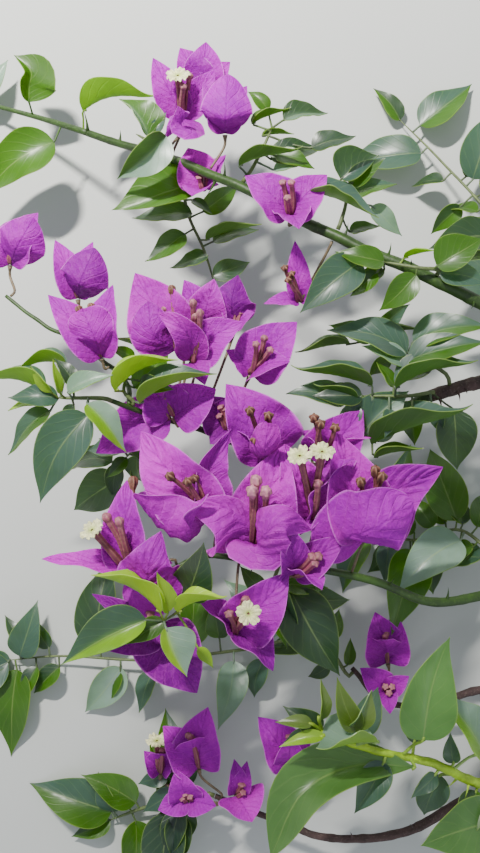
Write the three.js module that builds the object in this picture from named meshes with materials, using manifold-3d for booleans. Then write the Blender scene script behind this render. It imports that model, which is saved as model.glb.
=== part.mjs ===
// A flowering bougainvillea branch, as cut, lying on level ground: a woody stem with its canes and shoots,
// sprays of leaves, and blooms of three papery bracts round three tubular flowers.
// Millimetres, +Z up, +Y towards the branch's growing tips. The origin is the middle of its footprint.
import * as THREE from 'three';
import { mergeVertices } from 'three/addons/utils/BufferGeometryUtils.js';
import Module from 'manifold-3d';

const wasm = await Module();
wasm.setup();

// Driving dimensions, in millimetres or as shares of a blade's length
const GAP = 0.35; // between a stalk and the stem that carries it
const CLEARANCE = 0.3; // kept round a piece where another one crosses it
const LEAD = 3; // how far a stalk runs straight out of its stem
const STEM_SIDES = 6;
const TWIG = { sides: 3, foot: 1.5, tip: 0.9 };
const PETIOLE_RADIUS = 0.6;
const LEAF = { sides: 3, thickness: 0.8, halfWidth: 0.29, fold: 0.05, arch: 0.08, rings: [0.4] };
const BRACT = { sides: 4, thickness: 0.7, halfWidth: 0.4, fold: 0.3, arch: 0.12, rings: [0.42] };
const BLOOM_STALK = { sides: 3, steps: 2, radius: 0.9, knob: 2.2, lead: 5 };
const FLOWER = { sides: 3, length: 0.6, waist: 1.1, bud: 2.1, star: 4.8, apart: 1 };
const FILL_LEAF = { shortest: 34, longest: 50, petiole: 6, climb: 0.5 };
const LOWEST_LEAF = 0.8; // above the ground

// The layout is drawn as seen from straight above, by an eye at EYE_HEIGHT over the middle of the picture.
// A spot is [across, down, height]: two picture points, and millimetres above the ground.
const EYE_HEIGHT = 665;
const PICTURE_FOCUS = 1184.7;
const PICTURE_MIDDLE = [240, 426.5];
const FOOTPRINT_MIDDLE = [-3.8, -32.8, 1.2];

// Colours, from the real plant
const LOOKS = {
  bark: { color: 0x6d5344, roughness: 0.9 },
  greenStem: { color: 0x5f7d33, roughness: 0.6 },
  leaf: { color: 0x4a6b3f, roughness: 0.45 },
  bract: { color: 0xa832b8, roughness: 0.65 },
};

// Ways that a blade's upper side can face: +Z is up to the eye, +Y is towards the light
const LIGHT = [0, 0.6, 0.8];
const SKY = [0, 0.15, 1];
const AHEAD = [0, 0.85, 0.5];
const LEFT = [-0.7, 0.2, 0.7];
const RIGHT = [0.7, 0.2, 0.7];

// Layout

// A stem follows its spots. All but the first leave another one, past its end or from its side.
const STEMS = {
  main_stem: {
    looks: 'bark',
    thick: [7, 4.6],
    spots: [[470, 905, 8.2], [499, 800, 15], [522, 680, 36], [538, 560, 60], [548, 460, 82], [552, 376, 98]],
  },
  arching_cane: {
    looks: 'greenStem',
    after: 'main_stem',
    thick: [3.4, 1.9],
    spots: [[523, 326, 107], [480, 302, 110], [429, 278, 112], [367, 251, 110], [306, 221, 104], [240, 187, 92],
      [175, 160, 74], [120, 144, 56], [88, 133, 44]],
  },
  woody_limb: {
    looks: 'bark',
    beside: 'main_stem',
    thick: [3.7, 3],
    spots: [[515, 378, 94], [480, 382, 93], [430, 396, 93]],
  },
  middle_shoot: {
    looks: 'greenStem',
    after: 'woody_limb',
    thick: [2.6, 1.2],
    spots: [[370, 432, 90], [300, 456, 86], [240, 444, 87], [190, 425, 92], [150, 415, 100], [112, 401, 112]],
  },
  left_twig: {
    looks: 'greenStem',
    beside: 'middle_shoot',
    thick: [1.3, 0.9],
    spots: [[128, 385, 98], [90, 350, 92], [40, 322, 84], [6, 296, 78]],
  },
  main_shoot: {
    looks: 'greenStem',
    beside: 'main_stem',
    thick: [2.8, 1.2],
    spots: [[480, 596, 70], [428, 602, 82], [375, 582, 90], [300, 566, 96], [245, 560, 99], [205, 556, 101],
      [170, 570, 104]],
  },
  low_shoot: {
    looks: 'bark',
    beside: 'main_stem',
    thick: [3, 1.4],
    spots: [[467, 800, 22], [405, 832, 24], [330, 838, 24], [262, 815, 22], [215, 796, 20]],
  },
  low_side_shoot: {
    looks: 'bark',
    beside: 'main_stem',
    thick: [2.4, 1.3],
    spots: [[480, 690, 34], [430, 704, 26], [385, 702, 20], [352, 668, 18]],
  },
  young_shoot: {
    looks: 'greenStem',
    beside: 'main_stem',
    thick: [3, 1.6],
    spots: [[485, 783, 44], [425, 761, 70], [376, 751, 84], [346, 742, 92], [322, 730, 98]],
  },
};

// A bloom: the stem that carries it, its foot, and the tips of its three bracts.
// A flower's head is given where it shows, as a spot and what it ends in, and otherwise follows a rule.
// A bloom opens midway between its bracts, or the way that it says.
const BLOOMS = {
  main_bloom: [
    { on: 'main_shoot', foot: [131, 572, 110], tips: [[42, 559, 116], [127, 480, 110], [163, 531, 126]],
      flowers: [[93, 531, 128, 'star'], [104, 513, 124, 'bud'], [118, 517, 128, 'bud']] },
    { on: 'main_shoot', foot: [210, 518, 106], tips: [[141, 431, 110], [231, 429, 112], [135, 493, 126]],
      flowers: [[167, 474, 126, 'bud'], [186, 479, 128, 'bud'], [193, 476, 122, 'bud']] },
    { on: 'main_shoot', foot: [156, 626, 100], tips: [[92, 594, 102], [197, 693, 106], [106, 650, 110]],
      opens: SKY },
    { on: 'middle_shoot', foot: [266, 462, 98], tips: [[226, 384, 104], [268, 424, 124], [236, 430, 108]],
      flowers: [[246, 408, 124, 'bud'], [268, 413, 126, 'bud'], [254, 438, 124, 'bud']] },
    { on: 'middle_shoot', foot: [318, 466, 98], tips: [[363, 410, 104], [371, 438, 112], [297, 430, 104]],
      flowers: [[313, 415, 120, 'bud'], [321, 421, 124, 'bud'], [336, 425, 120, 'bud']] },
    { on: 'main_shoot', foot: [312, 518, 104], tips: [[354, 459, 118], [284, 444, 110], [300, 535, 112]],
      flowers: [[300, 457, 132, 'star'], [322, 453, 130, 'star'], [318, 480, 124, 'bud']] },
    { on: 'main_shoot', foot: [364, 540, 100], tips: [[337, 432, 112], [443, 467, 112], [406, 500, 132]],
      flowers: [[360, 478, 128, 'bud'], [375, 466, 126, 'bud'], [383, 473, 128, 'bud']] },
    { on: 'main_shoot', foot: [254, 545, 104], tips: [[186, 506, 120], [281, 450, 110], [288, 510, 134]],
      flowers: [[256, 475, 126, 'bud'], [252, 487, 130, 'bud'], [266, 487, 128, 'bud']] },
    { on: 'main_shoot', foot: [292, 575, 106], tips: [[346, 536, 110], [284, 521, 126], [322, 590, 122]] },
    { on: 'main_shoot', foot: [234, 632, 104], tips: [[289, 572, 112], [199, 602, 112], [273, 671, 110]],
      flowers: [[248, 614, 128, 'star'], [245, 597, 118, 'bud'], [228, 612, 120, 'bud']] },
  ],
  middle_bloom: [
    { on: 'middle_shoot', foot: [178, 350, 98], tips: [[135, 273, 102], [168, 300, 112], [138, 335, 108]] },
    { on: 'middle_shoot', foot: [192, 362, 102], tips: [[157, 313, 116], [236, 320, 108], [205, 385, 112]],
      flowers: [[197, 316, 122, 'bud'], [190, 330, 124, 'bud'], [205, 330, 118, 'bud']] },
    { on: 'middle_shoot', foot: [203, 326, 90], tips: [[193, 280, 94], [224, 298, 94], [186, 305, 104]] },
    { on: 'middle_shoot', foot: [234, 328, 88], tips: [[238, 275, 92], [254, 312, 92], [218, 290, 96]] },
    { on: 'middle_shoot', foot: [172, 418, 98], tips: [[150, 385, 100], [205, 392, 102], [150, 434, 96]] },
    { on: 'middle_shoot', foot: [228, 428, 94], tips: [[216, 392, 98], [250, 398, 96], [206, 446, 100]] },
  ],
  left_bloom: [
    { on: 'left_twig', foot: [102, 359, 100], tips: [[48, 295, 102], [113, 285, 104], [84, 306, 120]],
      flowers: [[77, 306, 108, 'bud'], [90, 303, 110, 'bud'], [98, 312, 112, 'bud']] },
    { on: 'left_twig', foot: [78, 300, 82], tips: [[55, 240, 84], [93, 242, 86], [74, 262, 98]] },
    { on: 'left_twig', foot: [10, 266, 76], tips: [[38, 213, 80], [-14, 222, 80], [12, 232, 92]] },
  ],
  top_bloom: [
    { on: 'arching_cane', foot: [183, 118, 76], tips: [[153, 58, 80], [215, 70, 78], [178, 106, 102]],
      flowers: [[178, 77, 92, 'star'], [190, 73, 90, 'bud'], [184, 84, 94, 'bud']] },
    { on: 'arching_cane', foot: [225, 135, 82], tips: [[228, 74, 94], [203, 82, 82], [247, 86, 82]] },
    { on: 'arching_cane', foot: [203, 92, 62], tips: [[180, 48, 64], [206, 42, 66], [230, 62, 64]] },
    { on: 'arching_cane', foot: [204, 190, 74], tips: [[226, 155, 76], [188, 148, 74], [192, 196, 84]] },
    { on: 'arching_cane', foot: [290, 217, 110], tips: [[245, 176, 112], [327, 175, 112], [299, 229, 130]],
      flowers: [[282, 180, 122, 'bud'], [291, 180, 122, 'bud'], [287, 196, 126, 'bud']] },
  ],
  right_bloom: [
    { on: 'arching_cane', foot: [300, 302, 94], tips: [[295, 241, 98], [264, 304, 98], [326, 298, 98]],
      flowers: [[284, 262, 106, 'bud'], [292, 268, 108, 'bud'], [280, 276, 108, 'bud']] },
    { on: 'middle_shoot', foot: [250, 375, 96], tips: [[297, 322, 100], [290, 362, 110], [226, 350, 98]],
      flowers: [[265, 335, 108, 'bud'], [256, 342, 112, 'bud'], [272, 348, 110, 'bud']] },
  ],
  low_bloom: [
    { on: 'low_shoot', foot: [199, 769, 32], tips: [[208, 707, 36], [163, 726, 34], [192, 740, 50]] },
    { on: 'low_shoot', foot: [161, 774, 26], tips: [[144, 751, 28], [175, 757, 30], [160, 754, 40]],
      flowers: [[157, 742, 34, 'star'], [167, 738, 30, 'bud'], [162, 748, 36, 'bud']] },
    { on: 'low_shoot', foot: [189, 800, 32], tips: [[158, 810, 34], [176, 769, 42], [215, 800, 38]] },
    { on: 'low_shoot', foot: [236, 795, 30], tips: [[234, 759, 36], [247, 761, 34], [252, 822, 40]] },
    { on: 'low_shoot', foot: [288, 765, 34], tips: [[258, 717, 38], [290, 735, 46], [311, 742, 36]] },
    { on: 'low_side_shoot', foot: [388, 664, 28], tips: [[375, 612, 32], [397, 614, 32], [381, 640, 46]] },
    { on: 'low_side_shoot', foot: [386, 690, 30], tips: [[360, 668, 36], [409, 676, 34], [390, 714, 38]] },
  ],
};

// A spray of leaves: its twig, and each leaf's foot and tip, with the way that its upper side faces.
// A spray with fill has leaves by a seeded rule, which keep to the ground's side of the stems.
const SPRAYS = {
  cane_tip_leaves: {
    after: 'arching_cane',
    thick: [1.9, 1],
    spots: [[40, 118, 26], [0, 107, 14], [-34, 97, 8]],
    leaves: [
      [[29, 102, 30], [16, 56, 34], SKY],
      [[83, 111, 48], [157, 95, 50], AHEAD],
      [[54, 142, 34], [-16, 196, 24], SKY],
      [[-22, 104, 12], [8, 60, 14], SKY],
      [[-30, 100, 8], [-92, 74, 1.5], LIGHT],
      [[-28, 96, 8], [-62, 134, 2], SKY],
    ],
  },
  cane_left_leaves: {
    beside: 'arching_cane',
    spots: [[164, 150, 82], [150, 142, 84], [136, 134, 80]],
    leaves: [
      [[166, 136, 90], [117, 179, 84], SKY],
      [[148, 136, 86], [119, 99, 82], RIGHT],
      [[152, 134, 84], [166, 112, 84], SKY],
    ],
  },
  cane_hanging_leaves: {
    beside: 'arching_cane',
    spots: [[182, 182, 62], [188, 214, 56], [204, 250, 46], [214, 282, 36]],
    leaves: [
      [[184, 186, 66], [112, 210, 76], LIGHT],
      [[192, 200, 62], [212, 214, 64], LIGHT],
      [[192, 214, 60], [132, 218, 56], LIGHT],
      [[206, 240, 52], [262, 224, 54], AHEAD],
      [[208, 256, 46], [170, 268, 40], LIGHT],
      [[213, 276, 38], [250, 262, 30], SKY],
    ],
  },
  cane_upper_leaves: {
    beside: 'arching_cane',
    spots: [[250, 172, 92], [262, 150, 90], [272, 128, 86]],
    leaves: [
      [[239, 166, 98], [303, 146, 102], AHEAD],
      [[252, 124, 86], [291, 107, 84], AHEAD],
      [[268, 110, 80], [248, 92, 78], SKY],
      [[284, 120, 84], [328, 113, 80], LIGHT],
      [[262, 136, 84], [294, 134, 80], AHEAD],
      [[274, 170, 92], [306, 164, 90], LIGHT],
      [[312, 149, 92], [356, 136, 90], LIGHT],
    ],
  },
  cane_right_leaves: {
    beside: 'arching_cane',
    spots: [[340, 224, 108], [346, 200, 106], [340, 184, 104]],
    leaves: [
      [[341, 178, 106], [379, 155, 104], RIGHT],
      [[316, 186, 112], [379, 218, 116], SKY],
      [[352, 196, 102], [397, 184, 100], LIGHT],
      [[372, 206, 96], [402, 236, 92], SKY],
      [[350, 232, 92], [380, 226, 92], LIGHT],
    ],
  },
  cane_foot_leaves: {
    beside: 'arching_cane',
    spots: [[440, 270, 116], [420, 268, 120], [384, 262, 116]],
    leaves: [
      [[437, 266, 120], [483, 238, 118], RIGHT],
      [[440, 274, 116], [490, 284, 116], SKY],
      [[404, 258, 112], [436, 250, 116], AHEAD],
      [[360, 262, 114], [300, 313, 116], SKY],
      [[384, 270, 110], [352, 292, 104], LIGHT],
    ],
  },
  limb_upper_leaves: {
    beside: 'woody_limb',
    spots: [[448, 376, 98], [420, 358, 100], [392, 346, 98], [372, 340, 94]],
    leaves: [
      [[378, 329, 92], [410, 304, 92], RIGHT],
      [[385, 334, 96], [421, 328, 96], AHEAD],
      [[413, 342, 102], [490, 326, 108], LIGHT],
      [[408, 361, 108], [487, 342, 114], LIGHT],
      [[407, 353, 104], [327, 330, 102], LIGHT],
      [[405, 364, 106], [362, 346, 106], LIGHT],
      [[350, 344, 90], [295, 352, 88], AHEAD],
    ],
  },
  limb_lower_leaves: {
    beside: 'woody_limb',
    spots: [[408, 396, 106], [382, 396, 106], [362, 396, 104]],
    leaves: [
      [[396, 388, 112], [478, 360, 120], AHEAD],
      [[372, 386, 108], [291, 365, 110], AHEAD],
      [[357, 399, 104], [313, 383, 104], AHEAD],
      [[346, 403, 100], [286, 394, 98], LIGHT],
      [[366, 424, 108], [408, 391, 112], LIGHT],
      [[372, 444, 104], [473, 404, 116], AHEAD],
      [[374, 458, 100], [424, 448, 106], AHEAD],
      [[446, 408, 96], [458, 468, 84], RIGHT],
    ],
  },
  left_leaves: {
    after: 'middle_shoot',
    thick: [1.2, 0.8],
    spots: [[96, 398, 116], [76, 398, 116], [58, 398, 114]],
    leaves: [
      [[66, 365, 108], [14, 369, 108], AHEAD],
      [[44, 392, 114], [-18, 378, 112], AHEAD],
      [[51, 392, 118], [30, 366, 122], LEFT],
      [[60, 393, 120], [53, 359, 126], RIGHT],
      [[68, 392, 122], [113, 375, 124], AHEAD],
      [[47, 402, 112], [8, 411, 108], LIGHT],
      [[50, 411, 112], [8, 455, 108], LEFT],
      [[88, 415, 118], [40, 503, 110], SKY],
      [[87, 404, 122], [126, 452, 118], RIGHT],
    ],
  },
  middle_leaves: {
    beside: 'middle_shoot',
    spots: [[134, 402, 106], [124, 392, 108], [128, 372, 104]],
    leaves: [
      [[115, 391, 114], [178, 360, 116], AHEAD],
      [[140, 403, 112], [217, 374, 114], AHEAD],
      [[148, 352, 98], [112, 338, 96], AHEAD],
      [[134, 358, 100], [108, 348, 102], SKY],
    ],
  },
  shaded_leaves: {
    beside: 'middle_shoot',
    spots: [[146, 430, 84], [136, 446, 74], [126, 458, 62]],
    leaves: [
      [[118, 464, 60], [114, 498, 50], SKY],
      [[134, 442, 76], [144, 462, 70], SKY],
      [[112, 462, 58], [70, 470, 40], LIGHT],
      [[120, 478, 52], [60, 520, 26], SKY],
    ],
  },
  young_tip_leaves: {
    beside: 'main_shoot',
    spots: [[196, 586, 108], [182, 608, 116], [164, 621, 122]],
    leaves: [
      [[160, 612, 126], [91, 575, 128], AHEAD],
      [[168, 612, 128], [157, 572, 134], RIGHT],
      [[178, 612, 122], [227, 596, 126], AHEAD],
      [[146, 620, 126], [61, 665, 124], SKY],
      [[166, 630, 128], [188, 677, 130], SKY],
      [[198, 648, 116], [213, 668, 114], SKY],
      [[186, 598, 112], [204, 542, 120], SKY],
    ],
  },
  cluster_leaves: {
    beside: 'main_shoot',
    spots: [[272, 590, 84], [276, 606, 80]],
    leaves: [
      [[280, 584, 92], [300, 640, 86], LEFT],
      [[290, 590, 88], [340, 676, 84], SKY],
      [[262, 590, 88], [240, 566, 92], SKY],
      [[300, 606, 78], [350, 600, 66], LIGHT],
    ],
  },
  young_shoot_leaves: {
    beside: 'main_stem',
    spots: [[490, 802, 46], [470, 770, 64], [430, 748, 82], [404, 740, 89], [380, 732, 94], [352, 722, 98]],
    leaves: [
      [[423, 740, 88], [450, 637, 96], SKY],
      [[482, 752, 70], [440, 692, 84], RIGHT],
      [[319, 720, 106], [321, 679, 110], RIGHT],
      [[357, 730, 102], [337, 677, 106], SKY],
      [[364, 744, 106], [316, 748, 112], AHEAD],
      [[312, 724, 104], [275, 722, 104], LIGHT],
      [[324, 736, 104], [279, 747, 104], LIGHT],
      [[396, 767, 86], [271, 857, 92], LIGHT],
      [[490, 822, 52], [421, 846, 78], SKY],
    ],
  },
  low_left_leaves: {
    beside: 'low_side_shoot',
    spots: [[320, 640, 18], [240, 650, 14], [150, 660, 12], [60, 656, 10], [10, 660, 6]],
    fill: { seed: 5, count: 6 },
    leaves: [
      [[8, 662, 8], [-52, 700, 1.2], SKY],
      [[20, 656, 10], [38, 600, 14], SKY],
    ],
  },
  low_right_leaves: {
    beside: 'main_stem',
    spots: [[500, 560, 40], [460, 530, 30], [410, 540, 20], [360, 520, 10]],
    fill: { seed: 64, count: 6 },
    leaves: [],
  },
  low_front_leaves: {
    after: 'low_shoot',
    thick: [1.4, 0.8],
    spots: [[190, 800, 18], [150, 806, 12], [110, 820, 6]],
    fill: { seed: 44, count: 5 },
    leaves: [
      [[168, 776, 24], [138, 784, 20], SKY],
      [[178, 790, 20], [143, 812, 14], SKY],
    ],
  },
  low_far_leaves: {
    beside: 'main_stem',
    spots: [[540, 340, 70], [500, 230, 40], [440, 160, 16], [400, 120, 6]],
    fill: { seed: 33, count: 7 },
    leaves: [],
  },
};

// Small helpers

const vector = (x, y, z) => new THREE.Vector3(x, y, z);

function spot([across, down, height]) {
  const scale = (EYE_HEIGHT - height) / PICTURE_FOCUS;
  return vector(
    (across - PICTURE_MIDDLE[0]) * scale - FOOTPRINT_MIDDLE[0],
    (PICTURE_MIDDLE[1] - down) * scale - FOOTPRINT_MIDDLE[1],
    height - FOOTPRINT_MIDDLE[2],
  );
}

// The same numbers for the same seed, from 0 to 1
function seeded(seed) {
  let state = seed >>> 0;
  return () => {
    state = (state + 0x6d2b79f5) >>> 0;
    let mixed = Math.imul(state ^ (state >>> 15), state | 1);
    mixed ^= mixed + Math.imul(mixed ^ (mixed >>> 7), mixed | 61);
    return ((mixed ^ (mixed >>> 14)) >>> 0) / 4294967296;
  };
}

const between = (from, to, share) => THREE.MathUtils.lerp(from, to, share);

// Solids

// A closed solid from a geometry: equal corners are merged, and faces that have no area are dropped
function solidOf(geometry) {
  geometry.deleteAttribute('normal');
  geometry.deleteAttribute('uv');
  const merged = mergeVertices(geometry, 1e-4);
  const corners = merged.index.array;
  const kept = [];
  for (let i = 0; i < corners.length; i += 3) {
    const [a, b, c] = corners.slice(i, i + 3);
    if (a !== b && b !== c && c !== a) kept.push(a, b, c);
  }
  return new wasm.Manifold(
    new wasm.Mesh({
      numProp: 3,
      vertProperties: merged.attributes.position.array,
      triVerts: new Uint32Array(kept),
    }),
  );
}

// A cylinder's skin with every point put where place(ring, x, z) says: x and z run from -1 to 1 across it
function skin(sides, steps, place) {
  const geometry = new THREE.CylinderGeometry(1, 1, 1, sides, steps, false, Math.PI);
  const points = geometry.attributes.position;
  for (let i = 0; i < points.count; i += 1) {
    const ring = Math.round((points.getY(i) + 0.5) * steps);
    const to = place(ring, points.getX(i), points.getZ(i));
    points.setXYZ(i, to.x, to.y, to.z);
  }
  return solidOf(geometry);
}

// A round limb along a curve, with its radius at each share of its length
function limb(curve, radius, sides, steps) {
  const frames = curve.computeFrenetFrames(steps);
  return skin(sides, steps, (ring, x, z) => {
    const size = radius(ring / steps);
    return curve
      .getPointAt(ring / steps)
      .addScaledVector(frames.normals[ring], x * size)
      .addScaledVector(frames.binormals[ring], -z * size);
  });
}

// How wide a blade is at each share of its length, at most 1: low powers give a broad foot or tip
function outline(footPower, tipPower) {
  const widest = footPower / (footPower + tipPower);
  const most = widest ** footPower * (1 - widest) ** tipPower;
  return (along) => (along ** footPower * (1 - along) ** tipPower) / most;
}

const LEAF_OUTLINE = outline(0.6, 1.15);
const BRACT_OUTLINE = outline(0.42, 0.9);

// The two directions square to a run, sideways and up, for a blade whose upper side is towards face
function squareTo(run, face) {
  const up = face.clone().addScaledVector(run, -face.dot(run)).normalize();
  return [run.clone().cross(up), up];
}

// A thin closed blade from its foot to its tip, on a thin stalk, with its upper side towards face.
// It is folded up along its midrib, and arched along its length.
function blade({ stalk, foot, tip, face, form, shape }, grow) {
  const along = tip.clone().sub(foot);
  const length = along.length();
  along.normalize();
  const [side, up] = squareTo(along, face);
  const rise = foot.clone().sub(stalk).normalize();
  const bend = rise.clone().add(along).normalize();
  const stations = [null, 0, ...form.rings, 1];
  const broadest = form.sides === 3 ? Math.sin(Math.PI / 3) : 1;
  return skin(form.sides, stations.length - 1, (ring, across, z) => {
    const station = stations[ring];
    const x = across / broadest;
    if (!station) {
      const [centre, run] = station === 0 ? [foot, bend] : [stalk, rise];
      const [aside, above] = squareTo(run, face);
      const radius = PETIOLE_RADIUS + grow;
      return centre.clone().addScaledVector(aside, x * radius).addScaledVector(above, z * radius);
    }
    const half = length * form.halfWidth * shape(station);
    const hump = 4 * form.arch * length * station * (1 - station);
    const spread = station < 1 ? half + grow : 0;
    const thick = station < 1 ? form.thickness / 2 + grow : 0;
    return foot
      .clone()
      .addScaledVector(along, station * length)
      .addScaledVector(up, hump + Math.abs(x) * half * form.fold + z * thick)
      .addScaledVector(side, x * spread);
  });
}

const join = (solids) => wasm.Manifold.union(solids);

// Stems

const curves = {};
const radii = {};

const bendThrough = (points) => new THREE.CatmullRomCurve3(points, false, 'centripetal');

// The share of a curve's length that lies nearest to a point
function nearest(curve, point) {
  const samples = 200;
  let best = 0;
  for (let i = 0; i <= samples; i += 1) {
    const here = curve.getPointAt(i / samples).distanceTo(point);
    if (here < curve.getPointAt(best).distanceTo(point)) best = i / samples;
  }
  return best;
}

// The two points that lead a stalk out of its stem, past the stem's end or from its side
function lead({ after, beside }, towards) {
  if (after) {
    const end = curves[after].getPointAt(1);
    const tangent = curves[after].getTangentAt(1);
    return [GAP, GAP + LEAD].map((step) => end.clone().addScaledVector(tangent, step));
  }
  const curve = curves[beside];
  const share = THREE.MathUtils.clamp(nearest(curve, towards), 0.02, 0.98);
  const centre = curve.getPointAt(share);
  const tangent = curve.getTangentAt(share);
  const away = towards.clone().sub(centre);
  away.addScaledVector(tangent, -away.dot(tangent)).normalize();
  const start = centre.addScaledVector(away, radii[beside](share) + GAP);
  const room = Math.min(LEAD, start.distanceTo(towards) / 2);
  return [start, start.clone().addScaledVector(away, room)];
}

function growStem(name) {
  const { thick, spots, ...joint } = STEMS[name];
  const points = spots.map(spot);
  const rooted = joint.after || joint.beside ? [...lead(joint, points[0]), ...points] : points;
  curves[name] = bendThrough(rooted);
  radii[name] = (along) => between(...thick, along);
  return (grow) => limb(curves[name], (along) => radii[name](along) + grow, STEM_SIDES, Math.round(1.3 * rooted.length));
}

// Blooms

// A bloom's axis runs midway between its bracts
function axisOf(base, tips) {
  const axis = vector(0, 0, 0);
  tips.forEach((tip) => axis.add(tip.clone().sub(base).normalize()));
  return axis.normalize();
}

// A tubular flower, which widens to its bud, or opens past its middle into a star
function flower(base, head, end, grow) {
  const steps = end === 'star' ? 2 : 1;
  const radius = (along) => (along < 1 ? FLOWER.waist : FLOWER[end]) + grow;
  return limb(bendThrough([base, head]), radius, FLOWER.sides, steps);
}

function growBloom({ on, foot, tips, flowers, opens }) {
  const base = spot(foot);
  const ends = tips.map(spot);
  const axis = opens ? vector(...opens) : axisOf(base, ends);
  const under = base.clone().addScaledVector(axis, -BLOOM_STALK.lead);
  const leaving = lead({ beside: on }, under);
  const facesItsStem = under.distanceTo(leaving[0]) > base.distanceTo(leaving[0]);
  const stalk = bendThrough(facesItsStem ? [...leaving, base] : [...leaving, under, base]);
  const reach = FLOWER.length * ends[0].distanceTo(base);
  const heads = flowers
    ? flowers.map((each) => [spot(each), each[3]])
    : [[base.clone().addScaledVector(axis, reach), 'bud']];
  return (grow) => {
    const bracts = ends.map((tip) => {
      const start = base.clone().addScaledVector(tip.clone().sub(base).normalize(), BLOOM_STALK.knob);
      return blade({ stalk: base, foot: start, tip, face: axis, form: BRACT, shape: BRACT_OUTLINE }, grow);
    });
    const { knob, radius, sides, steps } = BLOOM_STALK;
    const knobEnds = [-knob, knob].map((step) => base.clone().addScaledVector(axis, step));
    const middle = limb(bendThrough(knobEnds), () => knob + grow, 4, 1);
    const stem = limb(stalk, () => radius + grow, sides, steps);
    const tubes = heads.map(([head, end], i) => {
      const aside = heads.length > 1 ? ends[i].clone().sub(base).setLength(FLOWER.apart) : vector(0, 0, 0);
      return flower(base.clone().add(aside), head, end, grow);
    });
    return join([stem, middle, ...bracts, ...tubes]);
  };
}

// Sprays of leaves

// Leaves by rule: they leave the twig to the left and right in turn, at random lengths and slopes
function fillLeaves(curve, { seed, count }) {
  const random = seeded(seed);
  const leaves = [];
  for (let i = 0; i < count; i += 1) {
    const share = between(0.12, 1, (i + random()) / count);
    const start = curve.getPointAt(Math.min(share, 1));
    const tangent = curve.getTangentAt(Math.min(share, 1));
    const side = vector(-tangent.y, tangent.x, 0).multiplyScalar(i % 2 ? 1 : -1);
    const way = side.addScaledVector(tangent, between(-0.2, 1.1, random()));
    way.z += between(-FILL_LEAF.climb, FILL_LEAF.climb, random());
    way.normalize();
    const length = between(FILL_LEAF.shortest, FILL_LEAF.longest, random());
    const foot = start.clone().addScaledVector(way, FILL_LEAF.petiole);
    const tip = foot.clone().addScaledVector(way, length);
    tip.z = Math.max(tip.z, LOWEST_LEAF);
    const face = vector(between(-0.4, 0.4, random()), between(0, 0.6, random()), 0.8);
    leaves.push({ foot, tip, face });
  }
  return leaves;
}

function growSpray({ spots, thick = [TWIG.foot, TWIG.tip], leaves, fill, ...leaving }) {
  const points = spots.map(spot);
  const curve = bendThrough([...lead(leaving, points[0]), ...points]);
  const placed = leaves.map(([foot, tip, face]) => ({
    foot: spot(foot),
    tip: spot(tip),
    face: vector(...face),
  }));
  if (fill) placed.push(...fillLeaves(curve, fill));
  const steps = points.length + 3;
  return (grow) => {
    const twig = limb(curve, (along) => between(...thick, along) + grow, TWIG.sides, steps);
    const blades = placed.map((leaf) => {
      const joint = THREE.MathUtils.clamp(Math.round(nearest(curve, leaf.foot) * steps), 1, steps - 1);
      const stalk = curve.getPointAt(joint / steps);
      return blade({ ...leaf, stalk, form: LEAF, shape: LEAF_OUTLINE }, grow);
    });
    return join([twig, ...blades]);
  };
}

// The branch is put together piece by piece: each one is cut clear of those before it

const branch = new THREE.Group();
const placed = [];

function overlaps(a, b) {
  return [0, 1, 2].every((k) => a.min[k] < b.max[k] && b.min[k] < a.max[k]);
}

function addPiece(name, looks, grower) {
  const whole = grower(0);
  const box = whole.boundingBox();
  const neighbours = placed.filter((other) => overlaps(box, other.box)).map((other) => other.solid);
  const cleared = neighbours.length ? whole.subtract(join(neighbours)) : whole;
  const parts = cleared.decompose().sort((a, b) => b.volume() - a.volume());
  const { vertProperties, triVerts } = parts[0].getMesh();
  const geometry = new THREE.BufferGeometry();
  geometry.setAttribute('position', new THREE.BufferAttribute(vertProperties, 3));
  geometry.setIndex(new THREE.BufferAttribute(triVerts, 1));
  const mesh = new THREE.Mesh(geometry, new THREE.MeshStandardMaterial({ ...LOOKS[looks], metalness: 0 }));
  mesh.name = name;
  branch.add(mesh);
  const solid = grower(CLEARANCE);
  placed.push({ solid, box: solid.boundingBox() });
}

Object.entries(STEMS).forEach(([name, { looks }]) => addPiece(name, looks, growStem(name)));
Object.entries(BLOOMS).forEach(([cluster, blooms]) => {
  blooms.forEach((bloom, i) => addPiece(`${cluster}_${i + 1}`, 'bract', growBloom(bloom)));
});
Object.entries(SPRAYS).forEach(([name, spray]) => addPiece(name, 'leaf', growSpray(spray)));

export default branch;
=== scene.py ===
# A flowering bougainvillea branch, as cut, lying on level ground: papery bracts, tubular flowers, glossy leaves,
# twigs and thorny stems, grown by the same rules and from the same spots as the solids that they replace.
# Metres, +Z up, +Y towards the growing tips.
import math
import zlib

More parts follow.
